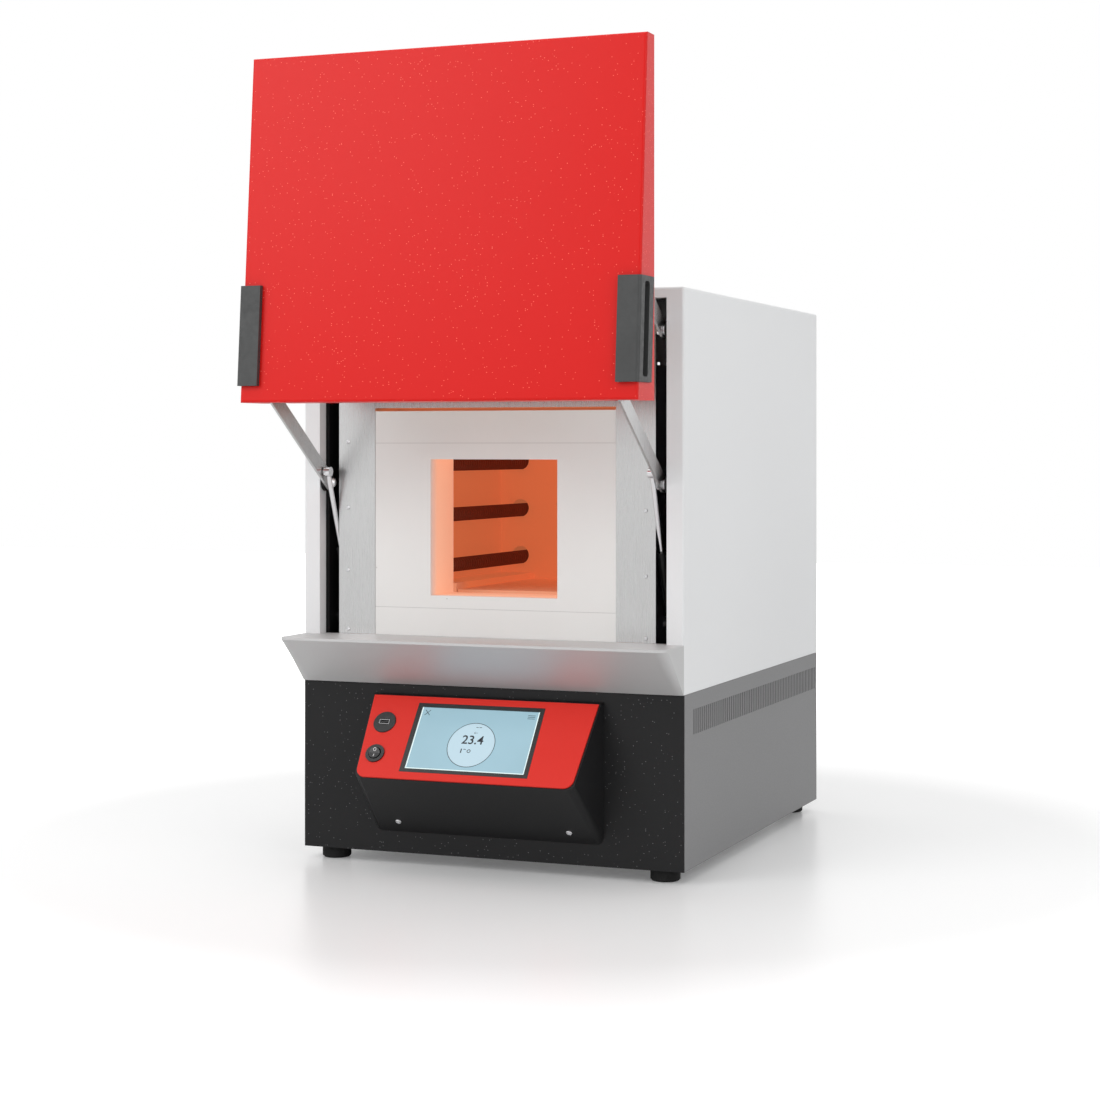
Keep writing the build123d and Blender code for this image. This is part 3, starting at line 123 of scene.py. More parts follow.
def seen(*screen_colour):
    """A colour as it is seen on a screen, 0 to 255, as the linear colour that Blender mixes."""
    brightest, toe, toe_slope, offset, power = 255, 10, 12.92, 0.055, 2.4
    return tuple(value / brightest / toe_slope if value <= toe
                 else ((value / brightest + offset) / (1 + offset)) ** power
                 for value in screen_colour)


def paint(name, description, *screen_colour):
    """A colour that a user may change."""
    return FloatVectorProperty(name=name, description=description, subtype="COLOR", size=3,
                               min=0, max=1, default=seen(*screen_colour))


def size(name, description, millimetres):
    """A length that a user may change."""
    return FloatProperty(name=name, description=description, unit="LENGTH", precision=5,
                         min=0, default=millimetres / 1000)


def lamp_power(name, description, watts):
    """A lamp's power that a user may change."""
    return FloatProperty(name=name, description=description, unit="POWER", min=0, default=watts)


class FurnaceFinishes(bpy.types.PropertyGroup):
    """Colours of the furnace."""
    case_white: paint("Case", "Powder coat of the case", 236, 237, 238)
    front_black: paint("Base front", "Powder coat of the base front and the console", 30, 30, 31)
    # The base sides are partly grey paint and partly a painted reflection: the lighter grey stands
    # in for the bright surroundings reflected by the dark base.
    side_grey_painted_reflection: paint("Base sides", "Powder coat of the base sides", 128, 128, 129)
    door_red: paint("Door", "Paint of the door", 222, 24, 20)
    # Painted glints: colour of the bright flecks painted on the door where light catches its
    # grain.
    door_painted_glint: paint("Door sparkle", "Flecks in the door's paint", 255, 110, 96)
    facia_red: paint("Facia", "Paint of the control panel", 226, 48, 38)
    handle_grey: paint("Handles", "Moulded plastic of the handles", 58, 59, 59)
    steel: paint("Sheet steel", "Stainless sheet of plates, sill and brackets", 200, 200, 200)
    bright_steel: paint("Bright steel", "Screws, nuts and strut rods", 222, 222, 224)
    plated_steel: paint("Plated steel", "Hidden sheet parts", 176, 178, 180)
    frame_black: paint("Frame", "Posts and struts in the door slots", 26, 26, 27)
    # The insulation boards are white; the peach and orange are painted warm light inside the mouth
    # and chamber.
    board_white: paint("Insulation", "Cool face of the insulation boards", 240, 240, 238)
    board_peach_painted_light: paint("Warm insulation", "Insulation inside the mouth", 246, 200, 170)
    board_orange_painted_light: paint("Hot insulation", "Insulation of the hot chamber", 228, 140, 92)
    element_brown: paint("Elements", "Heating elements", 84, 30, 16)
    flue_cream: paint("Flue", "Ceramic of the flue", 226, 222, 212)
    plastic_black: paint("Black plastic", "Screen frame, port, switch and fan", 24, 24, 25)
    screen_blue: paint("Screen", "Screen background", 158, 194, 208)
    screen_pale: paint("Screen dial", "Dial on the screen", 186, 212, 224)
    # Painted highlight: colour of the light caught by the screen's glass edges.
    screen_edge: paint("Screen edge", "Lit edge of the screen", 222, 240, 240)
    screen_ink: paint("Screen ink", "Figures on the screen", 24, 32, 40)
    mark_white: paint("Marks", "Printed marks on the switch", 226, 226, 226)
    board_green: paint("Circuit board", "Circuit board in the base", 34, 92, 58)
    core_brown: paint("Transformer", "Laminated core and windings", 116, 78, 52)
    rubber_black: paint("Feet", "Rubber of the feet", 30, 30, 30)


class FurnaceSizes(bpy.types.PropertyGroup):
    """Sizes of the furnace's fine parts."""
    rib_pitch: size("Rib pitch", "Distance between two ribs of an element", 7.4)
    rib_depth: size("Rib depth", "Depth of an element's spiral groove", 1.9)
    face_screw_socket: size("Face screw socket",
                            "Across the flats of the face screws' sockets", 2.6)
    console_screw_socket: size("Console screw socket",
                               "Across the flats of the console screws' sockets", 3.6)
    print_lift: size("Print thickness", "How far printed marks stand on their surface", 0.12)
    dial_radius: size("Dial radius", "Radius of the dial on the screen", 30.5)
    dial_line: size("Dial line", "Width of the dial's outline", 0.7)
    figure_height: size("Figure height", "Height of the figures on the screen", 16.5)
    # Width of the painted highlight along the screen's glass edges.
    screen_highlight_width: size("Screen rim", "Width of the screen's lit edge", 1.6)


class FurnaceStage(bpy.types.PropertyGroup):
    """Camera, lamps and floor."""
    eye_right: size("Eye right", "Camera to the right of the furnace's middle", 1082.0)
    eye_front: size("Eye front", "Camera in front of the furnace's middle", 2758.3)
    eye_height: size("Eye height", "Camera above the bench", 515.1)
    turn: FloatProperty(name="Turn", description="Camera turned to the left", subtype="ANGLE",
                        default=math.radians(21.55))
    lens: FloatProperty(name="Lens", description="Focal length on a 36 mm frame", default=74.3,
                        min=1)
    frame_lift: FloatProperty(name="Frame lift", default=-0.094,
                              description="Share of the frame moved down for level lines")
    key_lamp: lamp_power("Key lamp", "Large lamp at the front left", 44)
    fill_lamp: lamp_power("Fill lamp", "Large lamp at the right", 20)
    top_lamp: lamp_power("Top lamp", "Large lamp above", 22)
    sky_level: FloatProperty(name="Sky level", description="Even light from all round",
                             default=0.55, min=0)
    room: size("Room", "Half the width of the floor", 7000)
    floor_white: paint("Floor", "Plain floor", 240, 240, 240)


# ---------------------------------------------------------------- node trees

def feed(tree, socket, value):
    """Sets a socket from a value, or from the output socket that drives it."""
    if isinstance(value, bpy.types.NodeSocket):
        tree.links.new(value, socket)
    elif socket.type == "RGBA" and len(value) == 3:
        socket.default_value = (*value, 1)
    else:
        socket.default_value = value


def wire(tree, kind, inputs=None, **settings):
    """Adds one node with its settings and its inputs."""
    node = tree.nodes.new(kind)
    for key, value in settings.items():
        setattr(node, key, value)
    for key, value in (inputs or {}).items():
        feed(tree, node.inputs[key], value)
    return node


def calc(tree, operation, *values):
    """The result of one step of arithmetic."""
    return wire(tree, "ShaderNodeMath", dict(enumerate(values)), operation=operation).outputs[0]


def axes_of(tree, vector):
    """The three numbers of a vector."""
    return wire(tree, "ShaderNodeSeparateXYZ", {0: vector}).outputs


# ---------------------------------------------------------------- finishes

def new_finish(name, colour, **surface):
    """A material with the shader's even values; returns the material, its tree and its shader."""
    material = bpy.data.materials.new(name)
    material.use_nodes = True
    shader = material.node_tree.nodes["Principled BSDF"]
    feed(material.node_tree, shader.inputs["Base Color"], colour)
    for key, value in surface.items():
        feed(material.node_tree, shader.inputs[key.replace("_", " ")], value)
    return material, material.node_tree, shader


def object_space(tree):
    """The place on the object in metres."""
    return wire(tree, "ShaderNodeTexCoord").outputs["Object"]


def pattern_space(tree, stretch=(1, 1, 1)):
    """The place on the object, stretched for a pattern."""
    return wire(tree, "ShaderNodeMapping",
                {"Vector": object_space(tree), "Scale": stretch}).outputs["Vector"]


def noise(tree, space, scale, detail=2.0):
    """Cloudy values from 0 to 1."""
    return wire(tree, "ShaderNodeTexNoise",
                {"Vector": space, "Scale": scale, "Detail": detail}).outputs["Fac"]


def spread(tree, value, low, high, start=0.35, end=0.65):
    """Values between start and end spread to low and high."""
    return wire(tree, "ShaderNodeMapRange", {"Value": value, "From Min": start, "From Max": end,
                                             "To Min": low, "To Max": high}).outputs["Result"]


def mix_colours(tree, share, first, second, blend="MIX"):
    """One colour passing into another, or blended with it."""
    return wire(tree, "ShaderNodeMix", {MIX_SHARE: share, MIX_FIRST: first, MIX_SECOND: second},
                data_type="RGBA", blend_type=blend).outputs[MIX_RESULT]


def tint(colour, factor):
    """A lighter or darker shade of a colour."""
    return tuple(min(1.0, value * factor) for value in colour)


def drifting(tree, cloud, colour, darker, lighter):
    """A colour that drifts between a darker and a lighter shade of itself."""
    return mix_colours(tree, cloud, tint(colour, darker), tint(colour, lighter))


def emboss(tree, shader, height, depth, strength=1.0):
    """Relief of a given depth in metres on the shader."""
    bump = wire(tree, "ShaderNodeBump",
                {"Height": height, "Distance": depth, "Strength": strength})
    tree.links.new(bump.outputs["Normal"], shader.inputs["Normal"])


def flecks(tree, space, spacing, share, reach):
    """1 on a share of small round spots, 0 elsewhere."""
    cells = wire(tree, "ShaderNodeTexVoronoi", {"Vector": space, "Scale": 1 / spacing})
    chance = wire(tree, "ShaderNodeSeparateColor", {"Color": cells.outputs["Color"]}).outputs[0]
    near = calc(tree, "LESS_THAN", cells.outputs["Distance"], reach)
    return calc(tree, "MULTIPLY", near, calc(tree, "LESS_THAN", chance, share))


def powder_coat(name, colour, roughness, grain, depth, painted_glint=None, painted_glint_share=0.0):
    """Baked powder paint on sheet metal, with orange peel, a faint drift of colour and, if asked,
    painted glints: lighter flecks in the base colour where light would catch the grain.
    """
    cloud_scale, drift, painted_glint_reach, smoother, rougher = 3, 0.015, 0.24, 0.03, 0.04
    material, tree, shader = new_finish(name, colour, Roughness=roughness,
                                        Specular_IOR_Level=0.22)
    space = pattern_space(tree)
    cloud = spread(tree, noise(tree, space, cloud_scale, detail=1), 0, 1, start=0.2, end=0.8)
    body = drifting(tree, cloud, colour, 1 - drift, 1 + drift)
    # Painted glints: flecks of a lighter colour mixed into the paint, standing in for light caught
    # by the grain.
    if painted_glint:
        body = mix_colours(tree, flecks(tree, space, 2 * grain, painted_glint_share, painted_glint_reach),
                           body, painted_glint)
    tree.links.new(body, shader.inputs["Base Color"])
    gloss = spread(tree, noise(tree, space, 1 / grain), roughness - smoother, roughness + rougher)
    tree.links.new(gloss, shader.inputs["Roughness"])
    emboss(tree, shader, noise(tree, space, 1 / grain, detail=1.5), depth)
    return material


def brushed_metal(name, colour, roughness, stretch, depth, drift=0.025, metallic=1.0):
    """Rolled or brushed sheet, with fine lines along its least stretched axis."""
    cloud_scale, line_share, cloud_share, smoother, rougher = 4, 0.7, 0.3, 0.9, 1.15
    material, tree, shader = new_finish(name, colour, Metallic=metallic, Roughness=roughness)
    lines = noise(tree, pattern_space(tree, stretch), 1.0, detail=3)
    cloud = noise(tree, pattern_space(tree), cloud_scale, detail=1)
    both = calc(tree, "ADD", calc(tree, "MULTIPLY", lines, line_share),
                calc(tree, "MULTIPLY", cloud, cloud_share))
    body = drifting(tree, spread(tree, both, 0, 1), colour, 1 - drift, 1 + drift)
    tree.links.new(body, shader.inputs["Base Color"])
    gloss = spread(tree, both, roughness * smoother, roughness * rougher)
    tree.links.new(gloss, shader.inputs["Roughness"])
    emboss(tree, shader, lines, depth)
    return material


def moulded(name, colour, roughness, grain, depth, specular=0.5, glow=0.0):
    """Moulded plastic, rubber or ceramic with a fine grain; if asked, it takes a painted glow,
    though it is no lamp.
    """
    cloud_scale, darker, lighter, gloss_scale, drift, painted_glow_tint = 30, 0.9, 1.12, 180, 0.06, 1.6
    material, tree, shader = new_finish(name, colour, Roughness=roughness,
                                        Specular_IOR_Level=specular)
    space = pattern_space(tree)
    cloud = spread(tree, noise(tree, space, cloud_scale, detail=4), 0, 1)
    tree.links.new(drifting(tree, cloud, colour, darker, lighter), shader.inputs["Base Color"])
    gloss = spread(tree, noise(tree, space, gloss_scale), roughness - drift, roughness + drift)
    tree.links.new(gloss, shader.inputs["Roughness"])
    emboss(tree, shader, noise(tree, space, 1 / grain, detail=3), depth)
    # Painted glow: the piece emits a lighter shade of its own colour.
    if glow:
        feed(tree, shader.inputs["Emission Color"], tint(colour, painted_glow_tint))
        feed(tree, shader.inputs["Emission Strength"], glow)
    return material


def fibre_board(name, front_colour, warm_light, start, end, glow, seams=()):
    """Ceramic fibre board: its front colour at one depth, passing into painted warm light at
    another, with a painted glow if asked, and with specks and board seams.
    """
    cloud_scale, speck_spacing, speck_share, speck_reach = 9, 0.016, 0.16, 0.055
    seam_reach, seam_ink, speck_ink, speck_tint = 0.0004, 0.6, 0.55, 0.3
    darkest, lightest = 0.975, 1.01
    fibre_stretch, fibre_depth, fibre_strength = (900, 260, 900), 0.00025, 0.5
    material, tree, shader = new_finish(name, front_colour, Roughness=0.92, Specular_IOR_Level=0.15)
    space = pattern_space(tree)
    place = axes_of(tree, object_space(tree))
    # Painted warm light: the colour passes from the front colour to the warm light colour with
    # depth.
    warm_light_share = spread(tree, place["Y"], 0, 1, start, end)
    cloud = spread(tree, noise(tree, space, cloud_scale, detail=4), darkest, lightest,
                   start=0.2, end=0.8)
    base = mix_colours(tree, warm_light_share, front_colour, warm_light)
    specks = flecks(tree, space, speck_spacing, speck_share, speck_reach)
    for height in seams:
        gap = calc(tree, "COMPARE", place["Z"], height, seam_reach)
        specks = calc(tree, "MAXIMUM", specks, calc(tree, "MULTIPLY", gap, seam_ink))
    base = mix_colours(tree, calc(tree, "MULTIPLY", specks, speck_ink), base,
                       tint(front_colour, speck_tint))
    tree.links.new(mix_colours(tree, 1.0, base, cloud, blend="MULTIPLY"),
                   shader.inputs["Base Color"])
    # Painted glow: the boards emit the warm light colour, more with depth, though they are no
    # lamp.
    if glow:
        tree.links.new(mix_colours(tree, warm_light_share, (0, 0, 0), warm_light), shader.inputs["Emission Color"])
        feed(tree, shader.inputs["Emission Strength"], glow)
    fibres = noise(tree, pattern_space(tree, fibre_stretch), 1.0, detail=4)
    emboss(tree, shader, fibres, fibre_depth, fibre_strength)
    return material


def lit_panel(name, colour, glow, drift=0.06):
    """An area of the screen that glows: the lit display behind glass, and the painted highlight
    along its glass edges.
    """
    cloud_scale, unlit_tint = 12, 0.6
    material, tree, shader = new_finish(name, tint(colour, unlit_tint), Roughness=0.12,
                                        Emission_Strength=glow)
    cloud = spread(tree, noise(tree, pattern_space(tree), cloud_scale), 0, 1)
    tree.links.new(drifting(tree, cloud, colour, 1 - drift, 1 + drift),
                   shader.inputs["Emission Color"])
    return material


def printed(name, colour):
    """Printed ink with a slightly worn face."""
    wear_scale, worn_tint = 900, 0.88
    material, tree, shader = new_finish(name, colour, Roughness=0.5)
    wear = spread(tree, noise(tree, pattern_space(tree), wear_scale), 0, 1)
    tree.links.new(mix_colours(tree, wear, tint(colour, worn_tint), colour),
                   shader.inputs["Base Color"])
    return material


def circuit_board(name, colour, copper):
    """Green board with a scatter of solder lands."""
    land_spacing, land_share, land_reach, grain_scale, grain_depth = 0.005, 0.5, 0.3, 400, 0.0001
    material, tree, shader = new_finish(name, colour, Roughness=0.38)
    space = pattern_space(tree)
    lands = flecks(tree, space, land_spacing, land_share, land_reach)
    tree.links.new(mix_colours(tree, lands, colour, copper), shader.inputs["Base Color"])
    emboss(tree, shader, noise(tree, space, grain_scale), grain_depth)
    return material


def make_finishes(colours):
    """Every material of the furnace, under the record's slot or the piece's own name."""
    upright, across, sideways = (4000, 4000, 40), (14, 1100, 1100), (60, 700, 700)
    along_rod, turned, stacked = (600, 600, 60), (300, 300, 300), (20, 2200, 20)
    # Depths behind a board's front in metres: its skin before the painted warm light starts, and
    # where the painted warm light is full
    skin, throat_full_light, chamber_full_light, hearth_lead = 0.001, 0.02, 0.04, 0.03
    # Painted glints: grey flecks on the black base front stand in for light caught by its grain.
    grey_painted_glint = tint(colours.side_grey_painted_reflection, 0.7)
    board_foot, board_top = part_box("front_board")
    mouth = board_foot.y
    chamber_front, chamber_rear = (corner.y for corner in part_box("floor_board"))
    seams = (board_top.z - UPPER_SEAM, board_foot.z + LOWER_SEAM)
    return {
        "case_white": powder_coat("case_powder_white", colours.case_white,
                                  roughness=0.42, grain=0.0014, depth=0.00002),
        "base_black": powder_coat("base_powder_black", colours.front_black,
                                  # The base front's grey flecks are painted glints.
                                  roughness=0.45, grain=0.0011, depth=0.00006,
                                  painted_glint=grey_painted_glint, painted_glint_share=0.08),
        # Base sides: the grey is partly painted reflection of the bright surroundings.
        "base_grey": powder_coat("base_powder_grey", colours.side_grey_painted_reflection,
                                 roughness=0.36, grain=0.0016, depth=0.00002),
        # The door's bright flecks are painted glints.
        "door_red": powder_coat("door_sparkle_red", colours.door_red,
                                roughness=0.34, grain=0.0012, depth=0.00009,
                                painted_glint=colours.door_painted_glint, painted_glint_share=0.1),
        "facia_red": powder_coat("facia_satin_red", colours.facia_red,
                                 roughness=0.38, grain=0.001, depth=0.00001),
        "console_black": powder_coat("console_smooth_black", colours.front_black,
                                     roughness=0.4, grain=0.0012, depth=0.00001),
        "handle_plastic": moulded("handle_grained_plastic", colours.handle_grey,
                                  roughness=0.5, grain=0.0007, depth=0.00004),
        "stainless": brushed_metal("stainless_brushed", colours.steel,
                                   roughness=0.27, stretch=upright, depth=0.000001),
        "sill": brushed_metal("sill_satin", colours.steel, roughness=0.5, stretch=upright,
                              depth=0.000001, metallic=0.4),
        "plated_steel": brushed_metal("zinc_plated_sheet", colours.plated_steel, roughness=0.42,
                                      stretch=across, depth=0.00001, drift=0.1),
        "frame_black": powder_coat("post_black", colours.frame_black,
                                   roughness=0.4, grain=0.0012, depth=0.00002),
        "bright_steel": brushed_metal("turned_bright_steel", colours.bright_steel,
                                      roughness=0.2, stretch=turned, depth=0.000003),
        "strut_black": powder_coat("strut_black", colours.frame_black,
                                   roughness=0.24, grain=0.0012, depth=0.00001),
        "rod_steel": brushed_metal("strut_rod_chrome", colours.bright_steel,
                                   roughness=0.1, stretch=along_rod, depth=0.000002),
        # Chamber, mouth and hearth: painted warm light in the colour, and a painted glow.
        "refractory": fibre_board("chamber_fibre", colours.board_peach_painted_light, colours.board_orange_painted_light,
                                  start=chamber_front + skin,
                                  end=chamber_front + chamber_full_light, glow=0.32),
        "mouth": fibre_board("mouth_fibre", colours.board_white, colours.board_peach_painted_light,
                             start=mouth + skin, end=mouth + throat_full_light, glow=0.28,
                             seams=seams),
        "hearth": fibre_board("hearth_tile", colours.board_peach_painted_light, colours.board_orange_painted_light,
                              start=chamber_front - hearth_lead, end=chamber_rear,
                              glow=0.32),
        # The heating elements take a painted glow; they give no light.
        "element_rod": moulded("element_rough_ceramic", colours.element_brown, roughness=0.66,
                               grain=0.0012, depth=0.00012, specular=0.25, glow=0.25),
        "flue_ceramic": fibre_board("flue_ceramic", colours.flue_cream, colours.flue_cream,
                                    start=0, end=1, glow=0.0),
        "clamp_metal": brushed_metal("clamp_aluminium", colours.plated_steel,
                                     roughness=0.34, stretch=sideways, depth=0.00001),
        "core_steel": brushed_metal("core_laminations", colours.core_brown, roughness=0.5,
                                    stretch=stacked, depth=0.0001, drift=0.3),
        "black_plastic": moulded("plastic_black", colours.plastic_black,
                                 roughness=0.36, grain=0.0008, depth=0.00002),
        "screen_glass": lit_panel("screen_background", colours.screen_blue, glow=0.5),
        "board_green": circuit_board("circuit_board_green", colours.board_green,
                                     colours.core_brown),
        "foot_rubber": moulded("foot_rubber", colours.rubber_black, roughness=0.7,
                               grain=0.0012, depth=0.0001, specular=0.2),
        "screen_dial": lit_panel("screen_dial", colours.screen_pale, glow=0.55, drift=0.03),
        # Painted highlight on the screen's glass edges, made to glow.
        "screen_edge": lit_panel("screen_edge", colours.screen_edge, glow=0.7, drift=0.02),
        "screen_ink": printed("screen_ink", colours.screen_ink),
        "mark_white": printed("mark_white", colours.mark_white),
    }


def finish(name):
    """The material made for a slot or a piece."""
    return bpy.data.materials[bpy.context.scene["furnace_finish_names"][name]]


# ---------------------------------------------------------------- pieces

def settle(name, mesh, body, slot, finish_name, *stands_for):
    """Makes a mesh a piece that rides on a body and may stand for CAD nodes."""
    piece = bpy.data.objects.new(name, mesh)
    bpy.context.scene.collection.objects.link(piece)
    mesh.materials.clear()
    mesh.materials.append(finish(finish_name))
    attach(piece, body)
    if stands_for:
        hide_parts(*stands_for)


def solids_of(node):
    """Lowest and highest corner of each separate solid in a CAD node, left ones first."""
    shell = bmesh.new()
    shell.from_mesh(NODES[node].data)
    bmesh.ops.remove_doubles(shell, verts=shell.verts, dist=SAME_VERTEX)
    boxes, unseen = [], set(shell.verts)
    while unseen:
        places, to_follow = [], [unseen.pop()]
        while to_follow:
            vert = to_follow.pop()
            places.append(tuple(vert.co))
            for edge in vert.link_edges:
                other = edge.other_vert(vert)
                if other in unseen:
                    unseen.remove(other)
                    to_follow.append(other)
        boxes.append(tuple(Vector([outermost(axis) for axis in zip(*places)])
                           for outermost in (min, max)))
    shell.free()
    return sorted(boxes, key=lambda box: tuple(round(value, 4) for value in (*box[0], *box[1])))


def mesh_from(vertices, faces, name="shape"):
    """A mesh from points and faces, with its normals turned outwards."""
    mesh = bpy.data.meshes.new(name)
    mesh.from_pydata([tuple(point) for point in vertices], [], faces)
    shape = bmesh.new()
    shape.from_mesh(mesh)
    bmesh.ops.remove_doubles(shape, verts=shape.verts, dist=SAME_POINT)
    bmesh.ops.recalc_face_normals(shape, faces=shape.faces)
    shape.to_mesh(mesh)
    shape.free()
    return mesh


def joined(meshes, name="shape"):
    """Several meshes as one."""
    whole = bmesh.new()
    for mesh in meshes:
        whole.from_mesh(mesh)
        bpy.data.meshes.remove(mesh)
    mesh = bpy.data.meshes.new(name)
    whole.to_mesh(mesh)
    whole.free()
    return mesh


# ---------------------------------------------------------------- repeated pieces

def tree_with(name, inputs):
    """A Geometry Nodes tree that takes a mesh and named inputs, and gives a mesh."""
    tree = bpy.data.node_groups.new(name, "GeometryNodeTree")
    for way in ("OUTPUT", "INPUT"):
        tree.interface.new_socket("Mesh", in_out=way, socket_type="NodeSocketGeometry")
    for label, kind in inputs.items():
        tree.interface.new_socket(label, in_out="INPUT", socket_type=kind)
    return tree, wire(tree, "NodeGroupInput").outputs, wire(tree, "NodeGroupOutput").inputs


def repeat_on_points(tree, given, result, shape):
    """Ends a tree: the shape on every point, realized and with its material."""
    spots = wire(tree, "GeometryNodeInstanceOnPoints",
                 {"Points": given["Mesh"], "Instance": shape, "Rotation": given["Facing"]})
    real = wire(tree, "GeometryNodeRealizeInstances", {"Geometry": spots.outputs["Instances"]})
    dressed = wire(tree, "GeometryNodeSetMaterial",
                   {"Geometry": real.outputs["Geometry"], "Material": given["Finish"]})
    tree.links.new(dressed.outputs["Geometry"], result["Mesh"])


def grow(tree, points, **settings):
    """Runs a Geometry Nodes tree on points and returns the plain mesh that it gives."""
    mesh = bpy.data.meshes.new("spots")
    mesh.from_pydata([tuple(point) for point in points], [], [])
    seed = bpy.data.objects.new("seed", mesh)
    bpy.context.scene.collection.objects.link(seed)
    modifier = seed.modifiers.new("Grow", "NODES")
    modifier.node_group = tree
    sockets = {item.name: item.identifier for item in tree.interface.items_tree
               if item.item_type == "SOCKET" and item.in_out == "INPUT"}
    for key, value in settings.items():
        modifier[sockets[key]] = value
    bpy.context.view_layer.update()
    graph = bpy.context.evaluated_depsgraph_get()
    grown = bpy.data.meshes.new_from_object(seed.evaluated_get(graph))
    bpy.data.objects.remove(seed)
    return grown


def facing(direction):
    """The turn that points a shape's Z axis along a direction."""
    return tuple(Vector(direction).to_track_quat("Z", "Y").to_euler())


def ribbed_rod_tree():
    """A rod with a spiral groove, on every point."""
    sharpness, tip_share = 1.8, 0.75
    tree, given, result = tree_with("Spiral ribbed rods", {
        "Diameter": FLOAT, "Length": FLOAT, "Pitch": FLOAT, "Groove": FLOAT, "Tip": FLOAT,
        "Rings": WHOLE, "Facing": VECTOR, "Finish": MATERIAL})
    radius = calc(tree, "MULTIPLY", given["Diameter"], 0.5)
    rod = wire(tree, "GeometryNodeMeshCylinder",
               {"Vertices": ROD_SIDES, "Side Segments": given["Rings"],
                "Radius": radius, "Depth": given["Length"]})
    x, y, z = axes_of(tree, wire(tree, "GeometryNodeInputPosition").outputs[0])
    turn = calc(tree, "ARCTAN2", y, x)
    ribs = calc(tree, "DIVIDE", z, given["Pitch"])
    phase = calc(tree, "MULTIPLY_ADD", ribs, 2 * math.pi, turn)
    wave = calc(tree, "MULTIPLY_ADD", calc(tree, "SINE", phase), 0.5, 0.5)
    cut = calc(tree, "MULTIPLY", calc(tree, "POWER", wave, sharpness),
               calc(tree, "DIVIDE", given["Groove"], radius))
    from_tip = calc(tree, "ADD", z, calc(tree, "MULTIPLY", given["Length"], 0.5))
    blunt = calc(tree, "MINIMUM", calc(tree, "DIVIDE", from_tip, given["Tip"]), 1.0)
    share = calc(tree, "MULTIPLY", calc(tree, "SUBTRACT", 1.0, cut),
                 calc(tree, "MULTIPLY_ADD", blunt, 1 - tip_share, tip_share))
    place = wire(tree, "ShaderNodeCombineXYZ", {0: calc(tree, "MULTIPLY", x, share),
                                                1: calc(tree, "MULTIPLY", y, share), 2: z})
    ribbed = wire(tree, "GeometryNodeSetPosition",
                  {"Geometry": rod.outputs["Mesh"], "Position": place.outputs[0]})
    smooth = wire(tree, "GeometryNodeSetShadeSmooth",
                  {"Geometry": ribbed.outputs["Geometry"], "Selection": rod.outputs["Side"]})
    repeat_on_points(tree, given, result, smooth.outputs["Geometry"])
    return tree


def hexagon_place(tree, flats):
    """Each point moved out or in to a six-sided outline, at its own height."""
    x, y, z = axes_of(tree, wire(tree, "GeometryNodeInputPosition").outputs[0])
    turn = calc(tree, "ARCTAN2", y, x)
    past_corner = calc(tree, "FLOORED_MODULO", calc(tree, "ADD", turn, math.pi / 6), math.pi / 3)
    from_flat = calc(tree, "SUBTRACT", past_corner, math.pi / 6)
    reach = calc(tree, "DIVIDE", calc(tree, "MULTIPLY", flats, 0.5),
                 calc(tree, "COSINE", from_flat))
    return wire(tree, "ShaderNodeCombineXYZ",
                {0: calc(tree, "MULTIPLY", reach, calc(tree, "COSINE", turn)),
                 1: calc(tree, "MULTIPLY", reach, calc(tree, "SINE", turn)), 2: z}).outputs[0]


def socket_screw_tree():
    """A low round screw head with a six-sided socket, on every point."""
    upward = 0.9
    tree, given, result = tree_with("Socket screws", {
        "Diameter": FLOAT, "Height": FLOAT, "Socket": FLOAT, "Facing": VECTOR,
        "Finish": MATERIAL})
    radius = calc(tree, "MULTIPLY", given["Diameter"], 0.5)
    rim = calc(tree, "MULTIPLY", given["Height"], RIM_SHARE)
    head = wire(tree, "GeometryNodeMeshCylinder",
                {"Vertices": SCREW_SIDES, "Side Segments": 1, "Radius": radius, "Depth": rim})
    lift = wire(tree, "ShaderNodeCombineXYZ", {2: calc(tree, "MULTIPLY", rim, 0.5)})
    base = wire(tree, "GeometryNodeTransform",
                {"Geometry": head.outputs["Mesh"], "Translation": lift.outputs[0]})
    normal = axes_of(tree, wire(tree, "GeometryNodeInputNormal").outputs[0])
    dome = wire(tree, "GeometryNodeExtrudeMesh",
                {"Mesh": base.outputs["Geometry"],
                 "Selection": calc(tree, "GREATER_THAN", normal["Z"], upward),
                 "Offset Scale": calc(tree, "SUBTRACT", given["Height"], rim)})
    crown = wire(tree, "GeometryNodeScaleElements",
                 {"Geometry": dome.outputs["Mesh"], "Selection": dome.outputs["Top"],
                  "Scale": CROWN_SHARE})
    mouth = wire(tree, "GeometryNodeExtrudeMesh",
                 {"Mesh": crown.outputs["Geometry"], "Selection": dome.outputs["Top"],
                  "Offset Scale": 0.0})
    shaped = wire(tree, "GeometryNodeSetPosition",
                  {"Geometry": mouth.outputs["Mesh"], "Selection": mouth.outputs["Top"],
                   "Position": hexagon_place(tree, given["Socket"])})
    socket = wire(tree, "GeometryNodeExtrudeMesh",
                  {"Mesh": shaped.outputs["Geometry"], "Selection": mouth.outputs["Top"],
                   "Offset Scale": calc(tree, "MULTIPLY", given["Height"], -SOCKET_SHARE)})
    repeat_on_points(tree, given, result, socket.outputs["Mesh"])
    return tree


# ---------------------------------------------------------------- flat shapes for prints

def circle(radius, centre, sides):
    """Points round a circle."""
    turns = [2 * math.pi * step / sides for step in range(sides)]
    return [(centre[0] + radius * math.cos(turn), centre[1] + radius * math.sin(turn), 0)
            for turn in turns]


def disc(radius, centre, sides):
    """A round flat shape."""
    return mesh_from(circle(radius, centre, sides), [tuple(range(sides))])


